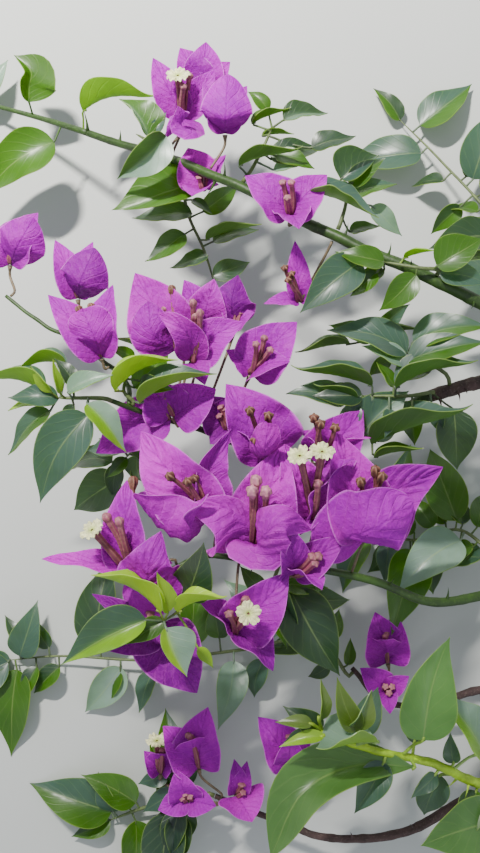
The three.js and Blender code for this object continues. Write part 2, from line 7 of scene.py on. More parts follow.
import bpy
import numpy as np
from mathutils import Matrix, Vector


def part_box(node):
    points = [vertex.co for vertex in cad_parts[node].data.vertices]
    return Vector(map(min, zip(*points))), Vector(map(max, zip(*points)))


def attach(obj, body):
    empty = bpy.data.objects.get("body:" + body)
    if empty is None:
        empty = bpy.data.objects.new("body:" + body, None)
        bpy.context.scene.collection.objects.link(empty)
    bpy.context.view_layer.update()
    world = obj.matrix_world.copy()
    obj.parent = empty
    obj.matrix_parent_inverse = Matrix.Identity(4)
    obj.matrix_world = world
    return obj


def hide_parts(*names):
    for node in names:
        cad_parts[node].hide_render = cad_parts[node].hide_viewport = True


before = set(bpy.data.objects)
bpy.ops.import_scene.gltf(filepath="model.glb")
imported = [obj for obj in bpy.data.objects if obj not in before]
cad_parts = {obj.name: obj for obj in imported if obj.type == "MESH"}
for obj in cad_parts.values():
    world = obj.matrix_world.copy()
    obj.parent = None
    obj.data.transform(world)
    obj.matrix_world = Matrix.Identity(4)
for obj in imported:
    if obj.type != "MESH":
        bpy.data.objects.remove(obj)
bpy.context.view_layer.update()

# The layout's picture, as in the part: a spot is (across, down, height), two picture points and millimetres
MM = 0.001
EYE_HEIGHT = 665
PICTURE_FOCUS = 1184.7
PICTURE_MIDDLE = (240, 426.5)
FOOTPRINT_MIDDLE = (-3.8, -32.8, 1.2)

# Driving dimensions, in millimetres. A fill leaf's climb is a slope, and the flowers' reach a share of their bract's.
GAP = 0.35
LEAD = 3
TWIG_RADII = (1.25, 0.75)
PETIOLE_RADIUS = 0.5
FILL_LEAF = {"shortest": 34, "longest": 50, "petiole": 6, "climb": 0.5}
LOWEST_LEAF = 0.8
BLOOM = {"stalk": 0.8, "lead": 5, "bract_foot": 0.8}
FLOWER = {"apart": 1.4, "girth": 1.55, "star": 6.2}
FLOWER_REACH = 0.6
FLOWERS_SPREAD = 2.4
KNOTS_APART = 16
KNOT_LENGTH = 1.6
THORNS_APART = 34
THORN_LENGTHS = (4, 7)
THINNEST_THORNY = 1.3
STEM_STEP = 1.6
TWIG_STEP = 3

# Smaller leaves: how many a spray has, alone or with leaves by the part's rule, and how long they are
SMALL_LEAVES = 8
SMALL_LEAVES_IN_FILL = 26
SMALL_LEAF = {"petiole": (4, 9), "length": (14, 30), "last": 24}

# Blades. Half the width, arch, sway, droop and crumple are shares of the length, and fold and wave of half the width.
# Cup and twist are the angles that a blade bends through from midrib to margin, and turns through from foot to tip.
# Lopsided tells how much wider one half is, quilts how many pillows there are between the side veins, foot_shade how
# much darker the foot is, shape the outline's powers, and grid the rows and columns. Thick is in millimetres, and via,
# where a blade has it, tells the spots that its midrib passes.
FLAT = {"lopsided": 0, "twist": 0, "sway": 0, "droop": 0, "quilts": 7, "foot_shade": 0}
LEAF = {**FLAT, "wide": 0.255, "fold": 0.2, "arch": 0.09, "cup": 0.35, "wave": 0.05, "crumple": 0.012,
        "thick": 0.4, "shape": (0.58, 1.3), "grid": (26, 14)}
FOLDED = {"fold": 0.85, "wide": 0.2, "arch": 0.035}
BRACT = {**FLAT, "wide": 0.43, "fold": 0.24, "arch": 0.12, "cup": 0.5, "wave": 0.13, "crumple": 0.05,
         "thick": 0.25, "shape": (0.42, 1.0), "grid": (46, 30), "foot_shade": 0.25}
SMALL_BRACT = {**BRACT, "wave": 0.07, "cup": 0.38, "fold": 0.2, "crumple": 0.035, "grid": (32, 22)}

# Stems: points round, ridges, how far a knot swells and darkens, and how far roughness and ridges stand out
WOODY = {"sides": 24, "ridges": 7, "knot": 1, "knot_shade": 0, "rough": 0.035, "ridge": 0.05}
GREEN = {"sides": 18, "ridges": 5, "knot": 0.5, "knot_shade": 0.25, "rough": 0.012, "ridge": 0.018}

# The heads of closed and dry flowers
HEADS = {
    "bud": dict(profile=(1.0, 1.35, 1.45, 1.1, 0.25), lobes=0.14, tint="knob", girth=1),
    "dry": dict(profile=(0.85, 1.5, 1.7, 1.5, 0.7), lobes=0.3, tint="dry", girth=0.78),
    "pale": dict(profile=(1.2, 1.9, 1.6, 1.5, 0.4), lobes=0.2, tint="petal", girth=0.95),
}

# Colours as the eye sees them, from 0 to 255
TINTS = {
    # Leaves: the darkest green is painted shade for leaves deep among the others, the palest grey-green a painted
    # sheen, and the brightest yellow-green painted backlight
    "dark": (32, 54, 48), "grey": (64, 92, 88), "pale": (142, 168, 156), "green": (62, 106, 3), "bright": (150, 200, 0),
    # The plain young green is young leaves' own colour, and the most yellow one is young green with painted backlight
    "young": (162, 200, 30), "backlit_young": (192, 228, 20), "under": (104, 146, 40), "sage": (92, 134, 70),
    # The purple-grey leaf tint is painted shade on a leaf that lies under the blooms
    "plum": (62, 62, 66), "olive": (112, 132, 58), "rim": (176, 200, 96), "twig": (96, 112, 62), "cane": (44, 74, 12),
    # Bracts: the plain bract tint is their own colour, the lighter tint is it with painted light, and the deeper one
    # with painted shade
    "limb": (78, 58, 56), "bark": (112, 92, 76), "bract": (198, 3, 208), "violet": (156, 2, 170),
    "lit_bract": (230, 34, 230), "tube": (142, 62, 90), "rib": (192, 150, 114), "knob": (164, 88, 114),
    "petal": (206, 130, 158), "dry": (104, 56, 44), "cream": (244, 241, 186), "throat": (176, 196, 84),
}
# Tints dealt at random to the part's leaves and to the smaller ones: among them painted shade, and for the part's
# leaves a painted sheen
FILL_TINTS = ["grey", "dark", "green", "pale", "grey green"]
SMALL_TINTS = ["grey", "dark", "green", "dark green"]

# Ways in which the upper side of a blade faces. A leaf that faces AHEAD is folded along its midrib, and shows the
# underside of one half.
LIGHT = (0, 0.6, 0.8)
SKY = (0, 0.15, 1)
AWAY = (0, 0.2, -1)
LEFT = (-0.7, 0.2, 0.7)
RIGHT = (0.7, 0.2, 0.7)
AHEAD = (0, 1, 0.2)
ARCHED = dict(fold=0.95, wide=0.25, arch=0.11, face=(0, 1, 0.12))

# How much of the light shines through a blade
SHINES_THROUGH = 0.42

# Studio: the lamps shine at the middle of the floor
LAMPS = {
    "key": dict(location=(-0.45, 1.0, 1.35), size=0.2, power=282, colour=(1, 0.97, 0.92)),
    "fill": dict(location=(0.8, -0.9, 1.3), size=1.2, power=24, colour=(0.9, 0.95, 1)),
}
WORLD = {"colour": (0.86, 0.92, 1, 1), "strength": 0.74}
FLOOR_REACH = 3

# Stems, in the order in which they leave each other
STEMS = {
    "main_stem": dict(
        tint="bark", thick=(7, 4.6),
        spots=[(470, 905, 8.2), (499, 800, 15), (522, 680, 36), (538, 560, 60), (548, 460, 82), (552, 376, 98)]),
    "arching_cane": dict(
        tint="cane", after="main_stem", thick=(3.4, 1.9),
        spots=[(523, 326, 107), (480, 302, 110), (429, 278, 112), (367, 251, 110), (306, 221, 104), (240, 187, 92),
               (175, 160, 74), (120, 144, 56), (88, 133, 44)],
        thorns=[(210, 197, 84), (76, 110, 46), (391, 246, 114)]),
    "woody_limb": dict(
        tint="limb", beside="main_stem", thick=(3.7, 3),
        spots=[(515, 378, 94), (480, 382, 93), (430, 396, 93)], thorns=[(444, 408, 100), (462, 399, 100)]),
    "middle_shoot": dict(
        tint="cane", after="woody_limb", thick=(2.6, 1.2),
        spots=[(370, 432, 90), (300, 456, 86), (240, 444, 87), (190, 425, 92), (150, 415, 100), (112, 401, 112)]),
    "left_twig": dict(
        tint="cane", beside="middle_shoot", thick=(1.3, 0.9),
        spots=[(128, 385, 98), (90, 350, 92), (40, 322, 84), (6, 296, 78)]),
    "main_shoot": dict(
        tint="cane", beside="main_stem", thick=(2.8, 1.2),
        spots=[(480, 596, 70), (428, 602, 82), (375, 582, 90), (300, 566, 96), (245, 560, 99), (205, 556, 101),
               (170, 570, 104)]),
    "low_shoot": dict(
        tint="limb", beside="main_stem", thick=(3, 1.4),
        spots=[(467, 800, 22), (405, 832, 24), (330, 838, 24), (262, 815, 22), (215, 796, 20)]),
    "low_side_shoot": dict(
        tint="limb", beside="main_stem", thick=(2.4, 1.3),
        spots=[(480, 690, 34), (430, 704, 26), (385, 702, 20), (352, 668, 18)]),
    "young_shoot": dict(
        tint="young", beside="main_stem", thick=(3, 1.6),
        spots=[(485, 783, 44), (425, 761, 70), (376, 751, 84), (346, 742, 92), (322, 730, 98)],
        thorns=[(467, 797, 56)]),
}


def at(*tip, **own):
    """A bract's tip, and what its shape has of its own. Where that names another tip, the bract is drawn to it."""
    return tip, own


def bloom(stem, foot, *bracts, **own):
    """The stem, the foot, the three bracts, and what the bloom has of its own: its tint, the way that it opens, how
    far shy flowers reach, and the heads of the flowers that show, by their kind."""
    return stem, foot, bracts, own


def leaf(*place, **own):
    """The foot and the tip, the way that the upper side faces and the tints, and what the shape has of its own."""
    return place, own


# Blooms, in groups. A bract has a shape of its own where the photo shows one, and so has a leaf below.
# A bloom or bract in the lighter bract tint has painted light on it, and one in the deeper tint has painted shade.
BLOOMS = {
    "main_bloom": [
        bloom("main_shoot", (131, 572, 110), at(42, 559, 116, wide=0.18, face=(0, 0.75, 0.65), tint="lit_bract", arch=0.04),
              at(127, 480, 110, wide=0.27, face=(-0.2, -0.1, 1), fold=0.35, crumple=0.08),
              at(163, 531, 126, via=[(146, 590, 118), (149, 566, 130)], tip=(161, 531, 128), wide=0.36, cup=0.8,
                 fold=0.1, face=(0, 0.3, -1), tint="lit_bract", under="bract"), star=[(93, 531, 128)],
              bud=[(104, 513, 124), (118, 517, 128)], dry=[(133, 476, 112)]),
        bloom("main_shoot", (210, 518, 106),
              at(141, 431, 110, wide=0.33, face=(-0.2, 0, 1), fold=0.3, crumple=0.07, tint="lit_bract"),
              at(231, 429, 112, wide=0.22, via=[(207, 468, 112)], fold=0.6, twist=0.5, face=(0.3, 0, 1)),
              at(135, 493, 126, via=[(190, 543, 110), (160, 530, 114)], wide=0.38, fold=1, face=(0, 1, 0.05),
                 shape=(0.8, 0.95), under="lit_bract"), dry=[(167, 474, 126), (186, 479, 128), (193, 476, 122)]),
        bloom("main_shoot", (156, 626, 100), at(92, 594, 102, wide=0.17), at(197, 693, 106, wide=0.46, fold=0.12),
              at(106, 650, 110, wide=0.44, fold=0.12), opens=SKY, tint="violet",
              bud=[(150, 612, 112), (158, 604, 112)]),
        bloom("middle_shoot", (266, 462, 98), at(226, 384, 104, wide=0.42, face=(0, 0, 1), lopsided=0.35),
              at(268, 424, 124, wide=0.2, via=[(265, 450, 124)], tip=(269, 423, 130), cup=1, face=AWAY,
                 shape=(0.5, 0.35), tint="lit_bract"), at(236, 430, 108, wide=0.42, crumple=0.09),
              dry=[(249, 408, 124), (268, 413, 126), (254, 438, 124)]),
        bloom("middle_shoot", (318, 466, 98), at(363, 410, 104, wide=0.42, face=(-0.1, 0, 1)),
              at(371, 438, 112, wide=0.22, tint="lit_bract"), at(297, 430, 104, wide=0.5),
              dry=[(313, 415, 120), (321, 421, 124), (336, 425, 120)]),
        bloom("main_shoot", (312, 518, 104), at(354, 459, 118, wide=0.32, face=(-0.5, 0.5, 0.2), under="bract"),
              at(284, 444, 110, wide=0.34, crumple=0.09, tint="lit_bract"), at(300, 535, 112, wide=0.7),
              star=[(300, 457, 132), (322, 453, 130)], bud=[(318, 480, 124)]),
        bloom("main_shoot", (364, 540, 100),
              at(337, 432, 112, wide=0.32, via=[(352, 490, 108)], fold=0.5, face=(0.2, -0.1, 1), tint="lit_bract"),
              at(443, 467, 112, wide=0.31, via=[(393, 493, 108)], face=(0, -0.1, 1), crumple=0.07),
              at(404, 491, 126, wide=0.34, via=[(346, 540, 112), (378, 527, 127)], tip=(413, 500, 122), cup=0.6,
                 fold=0.12, face=(-0.1, 0.3, -0.95), shape=(0.62, 0.6)),
              dry=[(360, 478, 128), (375, 466, 126), (383, 473, 128)]),
        bloom("main_shoot", (254, 545, 104),
              at(186, 506, 120, wide=0.33, via=[(243, 522, 112), (222, 507, 118)], face=(-0.1, 0.3, 1), tint="lit_bract",
                 lopsided=-0.5, cup=0.2, wave=0.05, fold=0.15),
              at(283, 446, 110, wide=0.36, face=(-0.1, -0.1, 1), crumple=0.09, tint="lit_bract"),
              at(312, 530, 120, wide=0.25, via=[(258, 541, 124), (284, 522, 133)], cup=0.9, fold=0.1,
                 face=(0, -0.2, -1), tint="lit_bract"), pale=[(256, 475, 126), (252, 487, 130), (266, 487, 128)]),
        bloom("main_shoot", (292, 575, 106), at(346, 536, 110, wide=0.3),
              at(284, 521, 126, wide=0.27, face=(0.3, 0, 1)), at(322, 590, 122, wide=0.5)),
        bloom("main_shoot", (234, 632, 104), at(289, 572, 112, wide=0.36), at(199, 602, 112, wide=0.36),
              at(273, 671, 110, wide=0.44, tint="violet"), star=[(248, 614, 128)],
              bud=[(247, 597, 118), (228, 612, 120)]),
    ],
    "middle_bloom": [
        bloom("middle_shoot", (178, 350, 98),
              at(135, 273, 102, wide=0.42, via=[(163, 322, 102)], face=(-0.2, 0, 1), tint="lit_bract"),
              at(168, 300, 112, wide=0.36, tip=(168, 316, 114), face=(0.1, 0.3, -1), cup=0.6),
              at(138, 335, 108, wide=0.36, tip=(148, 301, 110), via=[(154, 336, 108)], face=AWAY, shape=(0.7, 0.8)),
              dry=[(171, 285, 108)], bud=[(163, 306, 104), (175, 308, 104)]),
        bloom("middle_shoot", (192, 362, 102),
              at(157, 313, 116, wide=0.22, via=[(190, 338, 114), (175, 322, 120)], face=(0, -0.4, 1), tint="lit_bract"),
              at(236, 320, 108, wide=0.34, tip=(243, 322, 110), via=[(213, 337, 108)], face=(-0.2, 0, 1)),
              at(205, 385, 112), bud=[(193, 299, 122), (200, 309, 124), (195, 313, 118)]),
        bloom("middle_shoot", (203, 326, 90), at(193, 280, 94, wide=0.42, tip=(184, 280, 96)),
              at(224, 298, 94, wide=0.46, tip=(214, 279, 100), crumple=0.09, face=(0, 0, 1), tint="lit_bract"),
              at(186, 305, 104, wide=0.5, face=AWAY), shy=0.5),
        bloom("middle_shoot", (234, 328, 88),
              at(238, 275, 92, wide=0.42, via=[(232, 302, 96)], face=AWAY, tint="violet"), at(254, 312, 92, wide=0.5),
              at(218, 290, 96, wide=0.4), shy=0.5),
        bloom("middle_shoot", (172, 418, 98), at(150, 385, 100, wide=0.7, face=(0.1, 0.1, 1)),
              at(205, 392, 102, wide=0.5, tip=(216, 389, 101), face=SKY),
              at(150, 434, 96, wide=0.3, via=[(142, 424, 97)], tip=(96, 453, 88), face=SKY)),
        bloom("middle_shoot", (228, 428, 94), at(216, 392, 98, wide=0.62, tip=(207, 396, 98), face=SKY),
              at(250, 398, 96, wide=0.7, face=SKY), at(206, 446, 100, wide=0.62, tip=(210, 444, 98), face=SKY),
              tint="violet"),
    ],
    "left_bloom": [
        bloom("left_twig", (102, 359, 100), at(48, 295, 102, wide=0.26, face=(0.3, 0, 1)),
              at(113, 285, 104, wide=0.31, crumple=0.07),
              at(84, 306, 120, wide=0.38, tip=(82, 309, 114), via=[(94, 338, 112)], face=(0.1, 0.3, -1), cup=0.5,
                 tint="lit_bract", under="bract", shape=(0.9, 0.35)), dry=[(77, 306, 108), (90, 303, 110), (80, 312, 112)]),
        bloom("left_twig", (78, 300, 82), at(55, 240, 84, wide=0.28), at(93, 242, 86, wide=0.3),
              at(74, 262, 98, wide=0.38, tip=(95, 248, 94), via=[(80, 283, 97)], face=(0.1, 0.2, -1), cup=0.7,
                 tint="violet", shape=(0.8, 0.75)), shy=0.6),
        bloom("left_twig", (10, 266, 76), at(38, 213, 80, wide=0.42), at(-14, 222, 80, wide=0.4),
              at(12, 232, 92, wide=0.42, tip=(34, 218, 92), via=[(18, 246, 90)], face=AWAY, cup=0.7,
                 shape=(0.75, 0.75)), shy=0.6),
    ],
    "top_bloom": [
        bloom("arching_cane", (183, 118, 76), at(153, 58, 80, wide=0.28, face=(-0.1, 0, 1)),
              at(215, 70, 78, wide=0.29, face=(0.1, 0, 1)),
              at(178, 106, 102, wide=0.34, via=[(184, 127, 88), (182, 121, 97)], cup=0.7, face=(0, -0.2, -1)),
              star=[(178, 77, 92)], bud=[(190, 73, 90), (184, 84, 94)]),
        bloom("arching_cane", (225, 135, 82),
              at(228, 74, 94, wide=0.34, via=[(226, 116, 98)], face=AWAY, cup=0.5, quilts=4, shape=(0.7, 0.7)),
              at(203, 82, 82, wide=0.34), at(247, 86, 82, wide=0.34), shy=0.6),
        bloom("arching_cane", (203, 92, 62), at(180, 48, 64, wide=0.4, face=SKY), at(206, 42, 66, wide=0.46, face=SKY),
              at(230, 62, 64, wide=0.4, face=SKY)),
        bloom("arching_cane", (204, 190, 74), at(226, 155, 76, wide=0.3),
              at(188, 148, 74, wide=0.52, face=(0, 0, 1), tint="lit_bract"), at(192, 196, 84, wide=0.9), shy=0.7),
        bloom("arching_cane", (290, 217, 110), at(245, 176, 112), at(327, 175, 112), at(299, 229, 130),
              bud=[(282, 180, 122), (291, 180, 122), (287, 196, 126)]),
    ],
    "right_bloom": [
        bloom("arching_cane", (300, 302, 94), at(295, 241, 98, wide=0.22), at(264, 304, 98, wide=0.26),
              at(326, 298, 98, wide=0.26), dry=[(284, 266, 106), (291, 272, 108), (287, 278, 108)]),
        bloom("middle_shoot", (250, 375, 96), at(297, 322, 100), at(290, 362, 110), at(226, 350, 98),
              bud=[(265, 335, 108), (256, 342, 112), (272, 348, 110)]),
    ],
    "low_bloom": [
        bloom("low_shoot", (199, 769, 32), at(208, 707, 36), at(163, 726, 34), at(192, 740, 50)),
        bloom("low_shoot", (161, 774, 26), at(144, 751, 28), at(175, 757, 30), at(160, 754, 40), star=[(157, 742, 34)],
              bud=[(167, 738, 30), (162, 748, 36)]),
        bloom("low_shoot", (189, 800, 32), at(158, 810, 34, wide=0.46), at(176, 769, 42),
              at(215, 800, 38, wide=0.55, tip=(216, 806, 38)), shy=0.6),
        bloom("low_shoot", (236, 795, 30), at(234, 759, 36, wide=0.3), at(247, 761, 34, wide=0.3),
              at(252, 822, 40, wide=0.85, cup=0.7, tint="lit_bract"), shy=0.6),
        bloom("low_shoot", (288, 765, 34), at(258, 717, 38), at(290, 735, 46), at(311, 742, 36)),
        bloom("low_side_shoot", (388, 664, 28), at(375, 612, 32), at(397, 614, 32), at(381, 640, 46)),
        bloom("low_side_shoot", (386, 690, 30), at(360, 668, 36), at(409, 676, 34), at(390, 714, 38), shy=0.5),
    ],
}

# Sprays: the twig, which leaves a stem's end (after) or side (beside), or is the stem itself (along), then its leaves.
# small tells how many smaller leaves there are, and fill the seed and number of leaves by the part's rule. Of two
# tints, the first is that of the half further up the picture, and the two paint light and shade on the halves:
# some leaves have a painted sheen, some painted backlight, some painted shade. On a leaf that faces AHEAD, the second
# is underneath.
SPRAYS = {
    "cane_tip_leaves": [
        dict(after="arching_cane", thick=(1.9, 1), spots=[(40, 118, 26), (0, 107, 14), (-34, 97, 8)], small=0,
             tint="cane"),
        leaf(29, 102, 30, 14, 55, 34, SKY, "green", wide=0.34, lopsided=0.45, fold=0.5,
             via=[(29, 86, 32), (31, 72, 34)], face=(0.3, 0, 1)),
        leaf(83, 111, 48, 157, 95, 50, AHEAD, "bright", **ARCHED),
        leaf(54, 142, 34, -16, 196, 24, SKY, "green", wide=0.28, fold=0.12, cup=0.7),
        leaf(-22, 104, 12, 8, 60, 14, SKY, "pale"), leaf(-30, 100, 8, -92, 74, 1.5, LIGHT, "green"),
        leaf(-28, 96, 8, -62, 134, 2, SKY, "green"),
    ],
    "cane_left_leaves": [
        dict(beside="arching_cane", spots=[(164, 150, 82), (150, 142, 84), (136, 134, 80)], small=0),
        leaf(166, 136, 90, 117, 179, 84, RIGHT, "dark pale", wide=0.28, fold=0.6),
        leaf(148, 136, 86, 119, 99, 82, RIGHT, "green pale", wide=0.4, fold=0.6),
        leaf(152, 134, 84, 166, 112, 84, SKY, "grey"),
    ],
    "cane_hanging_leaves": [
        dict(beside="arching_cane", spots=[(182, 182, 62), (188, 214, 56), (204, 250, 46), (214, 282, 36)]),
        leaf(200, 183, 68, 112, 210, 76, SKY, "green", wide=0.27, fold=0.1, wave=0.02, lopsided=0.4),
        leaf(192, 200, 62, 212, 214, 64, LIGHT, "dark"), leaf(192, 214, 60, 132, 218, 56, LIGHT, "dark"),
        leaf(206, 240, 52, 262, 224, 54, AHEAD, "dark green"), leaf(208, 256, 46, 170, 268, 40, LIGHT, "dark"),
        leaf(213, 276, 38, 250, 262, 30, SKY, "dark"),
    ],
    "cane_upper_leaves": [
        dict(beside="arching_cane", spots=[(250, 172, 92), (262, 150, 90), (272, 128, 86)]),
        leaf(239, 166, 98, 303, 146, 102, AHEAD, "grey green"), leaf(252, 124, 86, 291, 107, 84, AHEAD, "green"),
        leaf(268, 110, 80, 248, 92, 78, SKY, "green"),
        leaf(284, 120, 84, 328, 113, 80, LIGHT, "dark pale", wide=0.3, fold=0.5),
        leaf(262, 136, 84, 294, 134, 80, AHEAD, "green"), leaf(274, 170, 92, 306, 164, 90, LIGHT, "pale"),
        leaf(312, 148, 92, 356, 136, 90, LIGHT, "dark", wide=0.3, under="green"),
    ],
    "cane_right_leaves": [
        dict(beside="arching_cane", spots=[(340, 224, 108), (346, 200, 106), (340, 184, 104)]),
        leaf(341, 179, 106, 379, 155, 104, SKY, "dark grey", wide=0.42, lopsided=-0.35, cup=0.8),
        leaf(309, 192, 112, 379, 218, 116, AHEAD, "grey green", wide=0.3, face=(0.2, 0.9, 0.4), fold=0.6),
        leaf(352, 196, 102, 397, 184, 100, LIGHT, "grey green"), leaf(372, 206, 96, 402, 236, 92, SKY, "pale"),
        leaf(350, 232, 92, 380, 226, 92, LIGHT, "dark"),
    ],
    "cane_foot_leaves": [
        dict(beside="arching_cane", spots=[(440, 270, 116), (420, 268, 120), (384, 262, 116)]),
        leaf(437, 266, 120, 483, 238, 118, SKY, "green", wide=0.34, lopsided=-0.2),
        leaf(440, 274, 116, 490, 284, 116, SKY, "grey"), leaf(404, 258, 112, 436, 250, 116, AHEAD, "bright"),
        leaf(360, 262, 114, 300, 313, 116, SKY, "grey"), leaf(384, 270, 110, 352, 292, 104, LIGHT, "dark"),
    ],
    "limb_upper_leaves": [
        dict(beside="woody_limb", spots=[(448, 376, 98), (420, 358, 100), (392, 346, 98), (372, 340, 94)]),
        leaf(378, 329, 92, 410, 304, 92, RIGHT, "dark grey"), leaf(385, 334, 96, 421, 328, 96, AHEAD, "dark"),
        leaf(413, 342, 102, 490, 326, 108, LIGHT, "grey green"),
        leaf(408, 361, 108, 487, 342, 114, LIGHT, "grey green"), leaf(407, 353, 104, 327, 330, 102, LIGHT, "grey"),
        leaf(405, 364, 106, 362, 346, 106, LIGHT, "pale"), leaf(350, 344, 90, 295, 352, 88, AHEAD, "dark"),
    ],
    "limb_lower_leaves": [
        dict(beside="woody_limb", spots=[(408, 396, 106), (382, 396, 106), (362, 396, 104)]),
        leaf(396, 388, 112, 478, 360, 120, AHEAD, "grey green", face=(0, 1, 0.3), wide=0.24, arch=0.08),
        leaf(372, 386, 108, 291, 365, 110, AHEAD, "grey green"),
        leaf(357, 399, 104, 313, 383, 104, AHEAD, "grey green"), leaf(346, 403, 100, 286, 394, 98, LIGHT, "grey"),
        leaf(362, 434, 98, 409, 391, 104, SKY, "grey pale", wide=0.4, fold=0.1),
        leaf(372, 444, 104, 473, 404, 116, AHEAD, "grey green", arch=0.02, wide=0.26),
        leaf(374, 458, 100, 424, 448, 106, AHEAD, "green"), leaf(454, 410, 96, 457, 470, 84, SKY, "dark", wide=0.32),
    ],
    "left_leaves": [
        dict(after="middle_shoot", thick=(1.2, 0.8), spots=[(96, 398, 116), (76, 398, 116), (58, 398, 114)]),
        leaf(66, 365, 108, 14, 369, 108, AHEAD, "grey bright", **ARCHED),
        leaf(44, 392, 114, -18, 378, 112, AHEAD, "grey bright", **ARCHED),
        leaf(51, 392, 118, 30, 366, 122, LEFT, "young", wide=0.2),
        leaf(60, 393, 120, 53, 359, 126, RIGHT, "young", wide=0.16),
        leaf(68, 392, 122, 113, 375, 124, LIGHT, "pale", wide=0.24, fold=0.5, under="young"),
        leaf(47, 402, 112, 8, 411, 108, LIGHT, "young", wide=0.16),
        leaf(50, 411, 112, 8, 455, 108, LEFT, "grey green", wide=0.22),
        leaf(88, 415, 118, 40, 503, 110, SKY, "grey", wide=0.25, sway=0.07, fold=0.3),
        leaf(87, 404, 122, 126, 452, 118, RIGHT, "pale bright", wide=0.27),
    ],
    "middle_leaves": [
        dict(beside="middle_shoot", spots=[(134, 402, 106), (124, 392, 108), (128, 372, 104)]),
        leaf(115, 391, 114, 178, 360, 116, AHEAD, "backlit_young", **ARCHED),
        leaf(140, 403, 112, 217, 374, 114, AHEAD, "grey bright", wide=0.24, arch=0.1, face=(0, 1, 0.34)),
        leaf(148, 352, 98, 112, 338, 96, AHEAD, "green"), leaf(134, 358, 100, 108, 348, 102, SKY, "green"),
    ],
    "shaded_leaves": [
        dict(beside="middle_shoot", spots=[(146, 430, 84), (136, 446, 74), (126, 458, 62)]),
        leaf(118, 464, 60, 114, 498, 50, SKY, "dark"), leaf(134, 442, 76, 144, 462, 70, SKY, "dark"),
        leaf(112, 462, 58, 70, 470, 40, LIGHT, "dark"), leaf(120, 478, 52, 74, 510, 34, SKY, "dark", wide=0.3),
    ],
    "young_tip_leaves": [
        dict(beside="main_shoot", spots=[(196, 586, 108), (182, 608, 116), (164, 621, 122)], small=0),
        leaf(160, 612, 126, 91, 575, 128, AHEAD, "backlit_young", **ARCHED), leaf(168, 612, 128, 157, 572, 134, RIGHT, "young"),
        leaf(178, 612, 122, 227, 596, 126, AHEAD, "backlit_young", **ARCHED),
        leaf(146, 620, 126, 61, 665, 124, SKY, "grey bright", wide=0.21, lopsided=0.3, fold=0.4),
        leaf(166, 628, 128, 187, 677, 130, SKY, "pale young", wide=0.34, lopsided=-0.5, fold=0.3),
        leaf(198, 648, 116, 213, 668, 114, SKY, "young"),
        leaf(186, 598, 112, 204, 542, 120, SKY, "plum dark", wide=0.34, fold=0.12),
    ],
    "cluster_leaves": [
        dict(beside="main_shoot", spots=[(272, 590, 84), (276, 606, 80)]),
        leaf(280, 584, 92, 300, 640, 86, LEFT, "grey dark"), leaf(290, 590, 88, 340, 676, 84, SKY, "dark"),
        leaf(262, 590, 88, 240, 566, 92, SKY, "dark"), leaf(300, 606, 78, 350, 600, 66, LIGHT, "dark"),
    ],
    "young_shoot_leaves": [
        dict(along="young_shoot", tint="young", petiole=1.6),
        leaf(423, 740, 88, 450, 637, 96, SKY, "sage", wide=0.26, fold=0.28, sway=-0.05, under="bright"),
        leaf(482, 752, 70, 440, 692, 84, RIGHT, "pale bright", wide=0.3, fold=0.4),
        leaf(319, 720, 106, 321, 679, 110, RIGHT, "olive", wide=0.2, fold=0.5),
        leaf(357, 730, 102, 337, 677, 106, SKY, "olive", wide=0.2, fold=0.5),
        leaf(351, 727, 103, 372, 690, 106, RIGHT, "pale olive", wide=0.3, fold=0.5),
        leaf(378, 742, 104, 316, 748, 112, AHEAD, "pale young", wide=0.46, fold=0.7, face=(0, 1, 0.12),
             shape=(1.1, 1.2)),
        leaf(312, 724, 104, 275, 722, 104, LIGHT, "olive", wide=0.2),
        leaf(324, 736, 104, 279, 747, 104, LIGHT, "young", wide=0.16),
        leaf(415, 767, 80, 271, 857, 92, SKY, "sage", wide=0.15, fold=0.5, via=[(355, 766, 84), (304, 792, 92)],
             face=(-0.3, 0.5, 0.8), under="olive", shape=(1.1, 0.95)),
        leaf(490, 822, 52, 421, 846, 78, SKY, "sage", wide=0.34, fold=0.12),
        leaf(440, 775, 50, 424, 815, 40, SKY, "grey", wide=0.32),
    ],
    "low_left_leaves": [
        dict(beside="low_side_shoot",
             spots=[(320, 640, 18), (240, 650, 14), (150, 660, 12), (60, 656, 10), (10, 660, 6)], fill=(5, 6)),
        leaf(8, 662, 8, -52, 700, 1.2, SKY, "grey"), leaf(20, 656, 10, 38, 600, 14, SKY, "grey"),
    ],
    "low_right_leaves": [
        dict(beside="main_stem", spots=[(500, 560, 40), (460, 530, 30), (410, 540, 20), (360, 520, 10)], fill=(64, 6)),
    ],
    "low_front_leaves": [
        dict(after="low_shoot", thick=(1.4, 0.8), spots=[(190, 800, 18), (150, 806, 12), (110, 820, 6)], fill=(44, 5)),
        leaf(168, 776, 24, 138, 784, 20, SKY, "grey"), leaf(178, 790, 20, 143, 812, 14, SKY, "grey"),
    ],
    "low_far_leaves": [
        dict(beside="main_stem", spots=[(540, 340, 70), (500, 230, 40), (440, 160, 16), (400, 120, 6)], fill=(33, 7)),
    ],
}


# Small helpers

def spot(place):
    """A spot of the layout, in metres."""
    across, down, height = place
    scale = (EYE_HEIGHT - height) / PICTURE_FOCUS
    return MM * np.array([
        (across - PICTURE_MIDDLE[0]) * scale - FOOTPRINT_MIDDLE[0],
        (PICTURE_MIDDLE[1] - down) * scale - FOOTPRINT_MIDDLE[1],
        height - FOOTPRINT_MIDDLE[2],
    ])


def unit(v):
    return v / max(np.linalg.norm(v), 1e-12)


def units(v, least=1e-12):
    """Each of many directions, made one long."""
    return v / np.maximum(np.linalg.norm(v, axis=-1, keepdims=True), least)


def mixed(a, b, share):
    return a + (b - a) * share


def around(count):
    return np.linspace(0, 2 * math.pi, count, endpoint=False)


